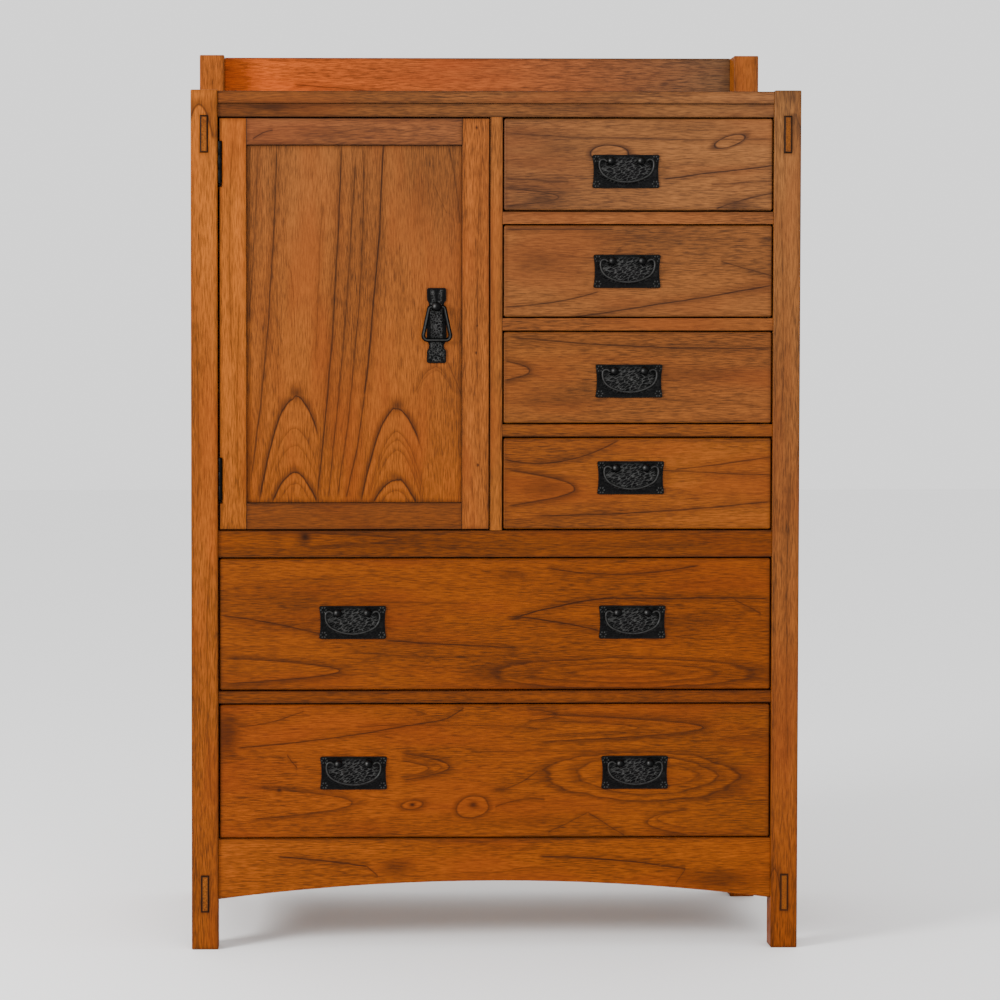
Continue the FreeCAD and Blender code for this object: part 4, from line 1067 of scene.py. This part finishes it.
def drawer_plate(shape, worn, pivot):
    settings = bpy.context.scene.door_chest_iron
    half_w, half_z, front_y, rise_z = 60.75 * MM, 29.75 * MM, 9.0 * MM, 17.8 * MM

    def half_x(z):
        return half_w - settings.waist * (1 - (z / half_z) ** 2)

    def relief(x, z, edge):
        rim = rim_bead(edge, 1.6 * MM)
        field = clamped((edge - 2.4 * MM) / (1.2 * MM))
        cover, petals, eye = corner_flower(x, z, half_w, half_z)
        oval = math.hypot(x / (47 * MM), (z - 1.5 * MM) / (23 * MM))
        bold = 0.30 + 0.70 * within(oval - 1.0, 0.05)
        struck = hammer_ridge(x, z, 10.5 * MM, 3.4 * MM, math.radians(20), 3.7)
        ridge = bold * field * (1 - cover) * struck
        rise = settings.rim_height * rim + settings.hammer_depth * ridge
        rise += 0.7 * MM * cover * petals - 0.5 * MM * eye
        wear = 0.55 * ridge ** 2 + 0.06 * rim ** 3 + 0.55 * cover * petals ** 2
        return rise - 0.35 * MM, min(wear, 1.0)

    centre = pivot + Vector((0.0, front_y, -rise_z))
    raised_plate(
        shape, worn, centre, half_x, half_z, corner=4.5 * MM, thick=2.6 * MM, relief=relief)
    for side in (-1, 1):
        place = pivot + Vector((side * settings.ball_spacing / 2, 0.0, 0.0))
        ball_post(shape, worn, place, settings.ball_radius, neck=4.5 * MM, back_y=front_y, sides=(side,))


class DOORCHEST_OT_drawer_pulls(bpy.types.Operator):
    """Make the hammered plates of the drawer pulls with their balls"""
    bl_idname = "doorchest.drawer_pulls"
    bl_label = "Drawer pull plates"

    def execute(self, context):
        for drawer in drawers():
            shape, worn = new_shape()
            for joint in swings(drawer + "_bail"):
                drawer_plate(shape, worn, Vector(joint["pos_m"]))
            node = drawer + ("_pull_plate" if drawer.startswith("small") else "_pull_plates")
            put(drawer + "_hammered_plate", shape, drawer, node)
        return {"FINISHED"}


class DOORCHEST_OT_bails(bpy.types.Operator):
    """Bend the bails of the drawer pulls"""
    bl_idname = "doorchest.bails"
    bl_label = "Bails"

    def execute(self, context):
        settings = context.scene.door_chest_iron
        steps = ((4.0 * MM, -45.0), (6.3 * MM, 125.0), (24.4 * MM, 70.0))
        start_x = settings.ball_spacing / 2 + settings.ball_radius + 0.5 * MM
        for joint in swings("bail"):
            shape, worn = new_shape()
            bent_bar(shape, start_x, settings.bail_radius, 2.0, steps, 30.0)
            # Painted highlight along the front of the rod, with some wear.
            paint_highlight_and_wear(worn, shape.verts, (-0.30, -0.90, 0.05), 5, 0.42)
            bmesh.ops.translate(shape, verts=shape.verts, vec=joint["pos_m"])
            name = joint["name"].removesuffix("_swing")
            put(name + "_rod", shape, joint["child"], name)
        return {"FINISHED"}


class DOORCHEST_OT_door_pull(bpy.types.Operator):
    """Make the door's long plate with its dome, and bend the drop ring"""
    bl_idname = "doorchest.door_pull"
    bl_label = "Door pull"

    def execute(self, context):
        settings = context.scene.door_chest_iron
        joint, = swings("door_drop")
        pivot = Vector(joint["pos_m"])
        shape, worn = new_shape()
        half_z = (DROP_PLATE_HIGH.z - DROP_PLATE_LOW.z) / 2
        half_w = (DROP_PLATE_HIGH.x - DROP_PLATE_LOW.x) / 2
        lobe_z, neck_z, neck_w = half_z - 22.0 * MM, 17.0 * MM, 13.1 * MM

        def half_x(z):
            past = (lobe_z - abs(z)) / neck_z
            if not 0 < past < 1:
                return half_w
            return half_w - (half_w - neck_w) * 4 * past * (1 - past)

        def relief(x, z, edge):
            rim = rim_bead(edge, 1.4 * MM)
            field = clamped((edge - 2.2 * MM) / (1.6 * MM))
            ridge = field * hammer_ridge(x, z, 4.6 * MM, 4.0 * MM, 0.0, 8.1)
            in_body = within(abs(z) - lobe_z + 5 * MM, 0.8 * MM)
            body = within(abs(x) - 10.7 * MM, 0.35 * MM) * in_body
            lobe = 1 - in_body
            rise = settings.rim_height * rim * lobe + 0.9 * MM * body
            if z > 0:
                leaf = math.exp(-((abs(x) - 8.5 * MM + 0.13 * (half_z - z)) / (4.0 * MM)) ** 4)
                work = lobe * leaf * (0.30 * field + 0.70 * ridge)
            else:
                arc = math.hypot(x, half_z + z - 3.0 * MM) - 11.0 * MM
                work = lobe * ridge * (1 - near(arc, 1.1 * MM)) * (1 - rim)
            rise += settings.hammer_depth * (0.8 * body * ridge + 0.8 * work)
            wear = 0.60 * body * ridge ** 2 + 0.55 * work ** 2 + 0.05 * lobe * rim ** 3
            return rise - 0.45 * MM, min(wear, 1.0)

        middle = (DROP_PLATE_LOW + DROP_PLATE_HIGH) / 2
        centre = Vector((middle.x, pivot.y + 8.0 * MM, middle.z))
        raised_plate(
            shape, worn, centre, half_x, half_z, corner=3.5 * MM, thick=3.0 * MM, relief=relief)
        ball_post(shape, worn, pivot, 8.5 * MM, neck=5.0 * MM, back_y=8.0 * MM, sides=(-1, 1))
        put("door_pull_strap", shape, "door", "door_pull_plate")

        shape, worn = new_shape()
        steps = ((5.0 * MM, 78.0), (47.0 * MM, 0.0), (8.0 * MM, 102.0))
        bent_bar(shape, 9.0 * MM, settings.drop_radius, 1.5, steps, 0.0)
        # Painted highlight along the front crest of the ring's bar.
        for vert in shape.verts:
            vert[worn] = 0.5 * clamped((-vert.co.y / settings.drop_radius - 0.90) / 0.10)
        bmesh.ops.translate(shape, verts=shape.verts, vec=pivot)
        put("door_drop_ring", shape, joint["child"], "door_pull_drop")
        return {"FINISHED"}


class DOORCHEST_OT_hinges(bpy.types.Operator):
    """Blacken the hinges and brush the door's strike"""
    bl_idname = "doorchest.hinges"
    bl_label = "Hinges and strike"

    def execute(self, context):
        iron = blackened_iron("hinge_iron")
        for node in ("hinge_leaves_case", "hinge_leaves_door"):
            dress(node, iron, 0.25 * MM)
        dress("door_strike", brushed_steel("strike_steel"), 0.2 * MM)
        return {"FINISHED"}


def lamp(name, place, target, size, watts):
    light = bpy.data.lights.new(name, "AREA")
    light.size = size
    light.energy = watts
    piece = bpy.data.objects.new(name, light)
    piece.location = place
    piece.rotation_euler = (Vector(target) - Vector(place)).to_track_quat("-Z", "Y").to_euler()
    bpy.context.scene.collection.objects.link(piece)


class DOORCHEST_OT_stage(bpy.types.Operator):
    """Lay the floor, hang the lights and set up the camera"""
    bl_idname = "doorchest.stage"
    bl_label = "Stage"

    def execute(self, context):
        settings = context.scene.door_chest_stage
        shape = bmesh.new()
        bmesh.ops.create_grid(shape, x_segments=1, y_segments=1, size=settings.floor_size)
        mesh = bpy.data.meshes.new("floor")
        shape.to_mesh(mesh)
        shape.free()
        floor = bpy.data.objects.new("floor", mesh)
        context.scene.collection.objects.link(floor)
        finish = Finish("floor_white")
        finish.shader.inputs["Base Color"].default_value = (*settings.floor_colour, 1.0)
        finish.shader.inputs["Roughness"].default_value = 0.8
        mesh.materials.append(finish.material)

        world = bpy.data.worlds.new("studio")
        world.use_nodes = True
        background = world.node_tree.nodes["Background"]
        background.inputs[0].default_value = (1.0, 1.0, 1.0, 1.0)
        background.inputs[1].default_value = settings.sky
        context.scene.world = world
        lamp("key", (-4.0, -2.6, 2.2), (0.0, 0.0, 0.9), 1.3, settings.key_power)
        lamp("fill", (1.6, -4.6, 2.4), (0.0, 0.0, 0.8), 2.4, settings.fill_power)

        # The camera was fitted to the photo: its place before the posts, tilt, turn and shift
        lens = bpy.data.cameras.new("camera")
        lens.lens = 86.4
        lens.sensor_width = 36.0
        lens.shift_x, lens.shift_y = 0.16595, -0.0792
        camera = bpy.data.objects.new("camera", lens)
        camera.location = (-0.353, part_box("post_front_left")[0].y - 4.292, 1.079)
        camera.rotation_euler = (math.radians(90 - 1.69), 0.0, math.radians(-0.84))
        context.scene.collection.objects.link(camera)
        context.scene.camera = camera
        return {"FINISHED"}


class DOORCHEST_PT_panel(bpy.types.Panel):
    """The chest's settings, and a button for each group of pieces"""
    bl_idname = "DOORCHEST_PT_panel"
    bl_label = "Door Chest"
    bl_space_type = "VIEW_3D"
    bl_region_type = "UI"
    bl_category = "Door Chest"

    def draw(self, context):
        for operator in OPERATORS:
            self.layout.operator(operator.bl_idname)
        for settings in (
            context.scene.door_chest_stain,
            context.scene.door_chest_iron,
            context.scene.door_chest_stage,
        ):
            box = self.layout.box()
            for name in settings.__annotations__:
                box.prop(settings, name)


GROUPS = (DOORCHEST_PG_stain, DOORCHEST_PG_iron, DOORCHEST_PG_stage)
OPERATORS = (
    DOORCHEST_OT_posts, DOORCHEST_OT_front_rails, DOORCHEST_OT_top_boards,
    DOORCHEST_OT_sides_and_back, DOORCHEST_OT_inside, DOORCHEST_OT_door,
    DOORCHEST_OT_drawers, DOORCHEST_OT_drawer_pulls, DOORCHEST_OT_bails,
    DOORCHEST_OT_door_pull, DOORCHEST_OT_hinges, DOORCHEST_OT_stage,
)
CLASSES = GROUPS + OPERATORS + (DOORCHEST_PT_panel,)


def register():
    for kind in CLASSES:
        bpy.utils.register_class(kind)
    bpy.types.Scene.door_chest_stain = PointerProperty(type=DOORCHEST_PG_stain)
    bpy.types.Scene.door_chest_iron = PointerProperty(type=DOORCHEST_PG_iron)
    bpy.types.Scene.door_chest_stage = PointerProperty(type=DOORCHEST_PG_stage)


def unregister():
    del bpy.types.Scene.door_chest_stage
    del bpy.types.Scene.door_chest_iron
    del bpy.types.Scene.door_chest_stain
    for kind in reversed(CLASSES):
        bpy.utils.unregister_class(kind)


def main():
    register()
    bpy.ops.doorchest.posts()
    bpy.ops.doorchest.front_rails()
    bpy.ops.doorchest.top_boards()
    bpy.ops.doorchest.sides_and_back()
    bpy.ops.doorchest.inside()
    bpy.ops.doorchest.door()
    bpy.ops.doorchest.drawers()
    bpy.ops.doorchest.drawer_pulls()
    bpy.ops.doorchest.bails()
    bpy.ops.doorchest.door_pull()
    bpy.ops.doorchest.hinges()
    bpy.ops.doorchest.stage()


if __name__ == "__main__":
    main()
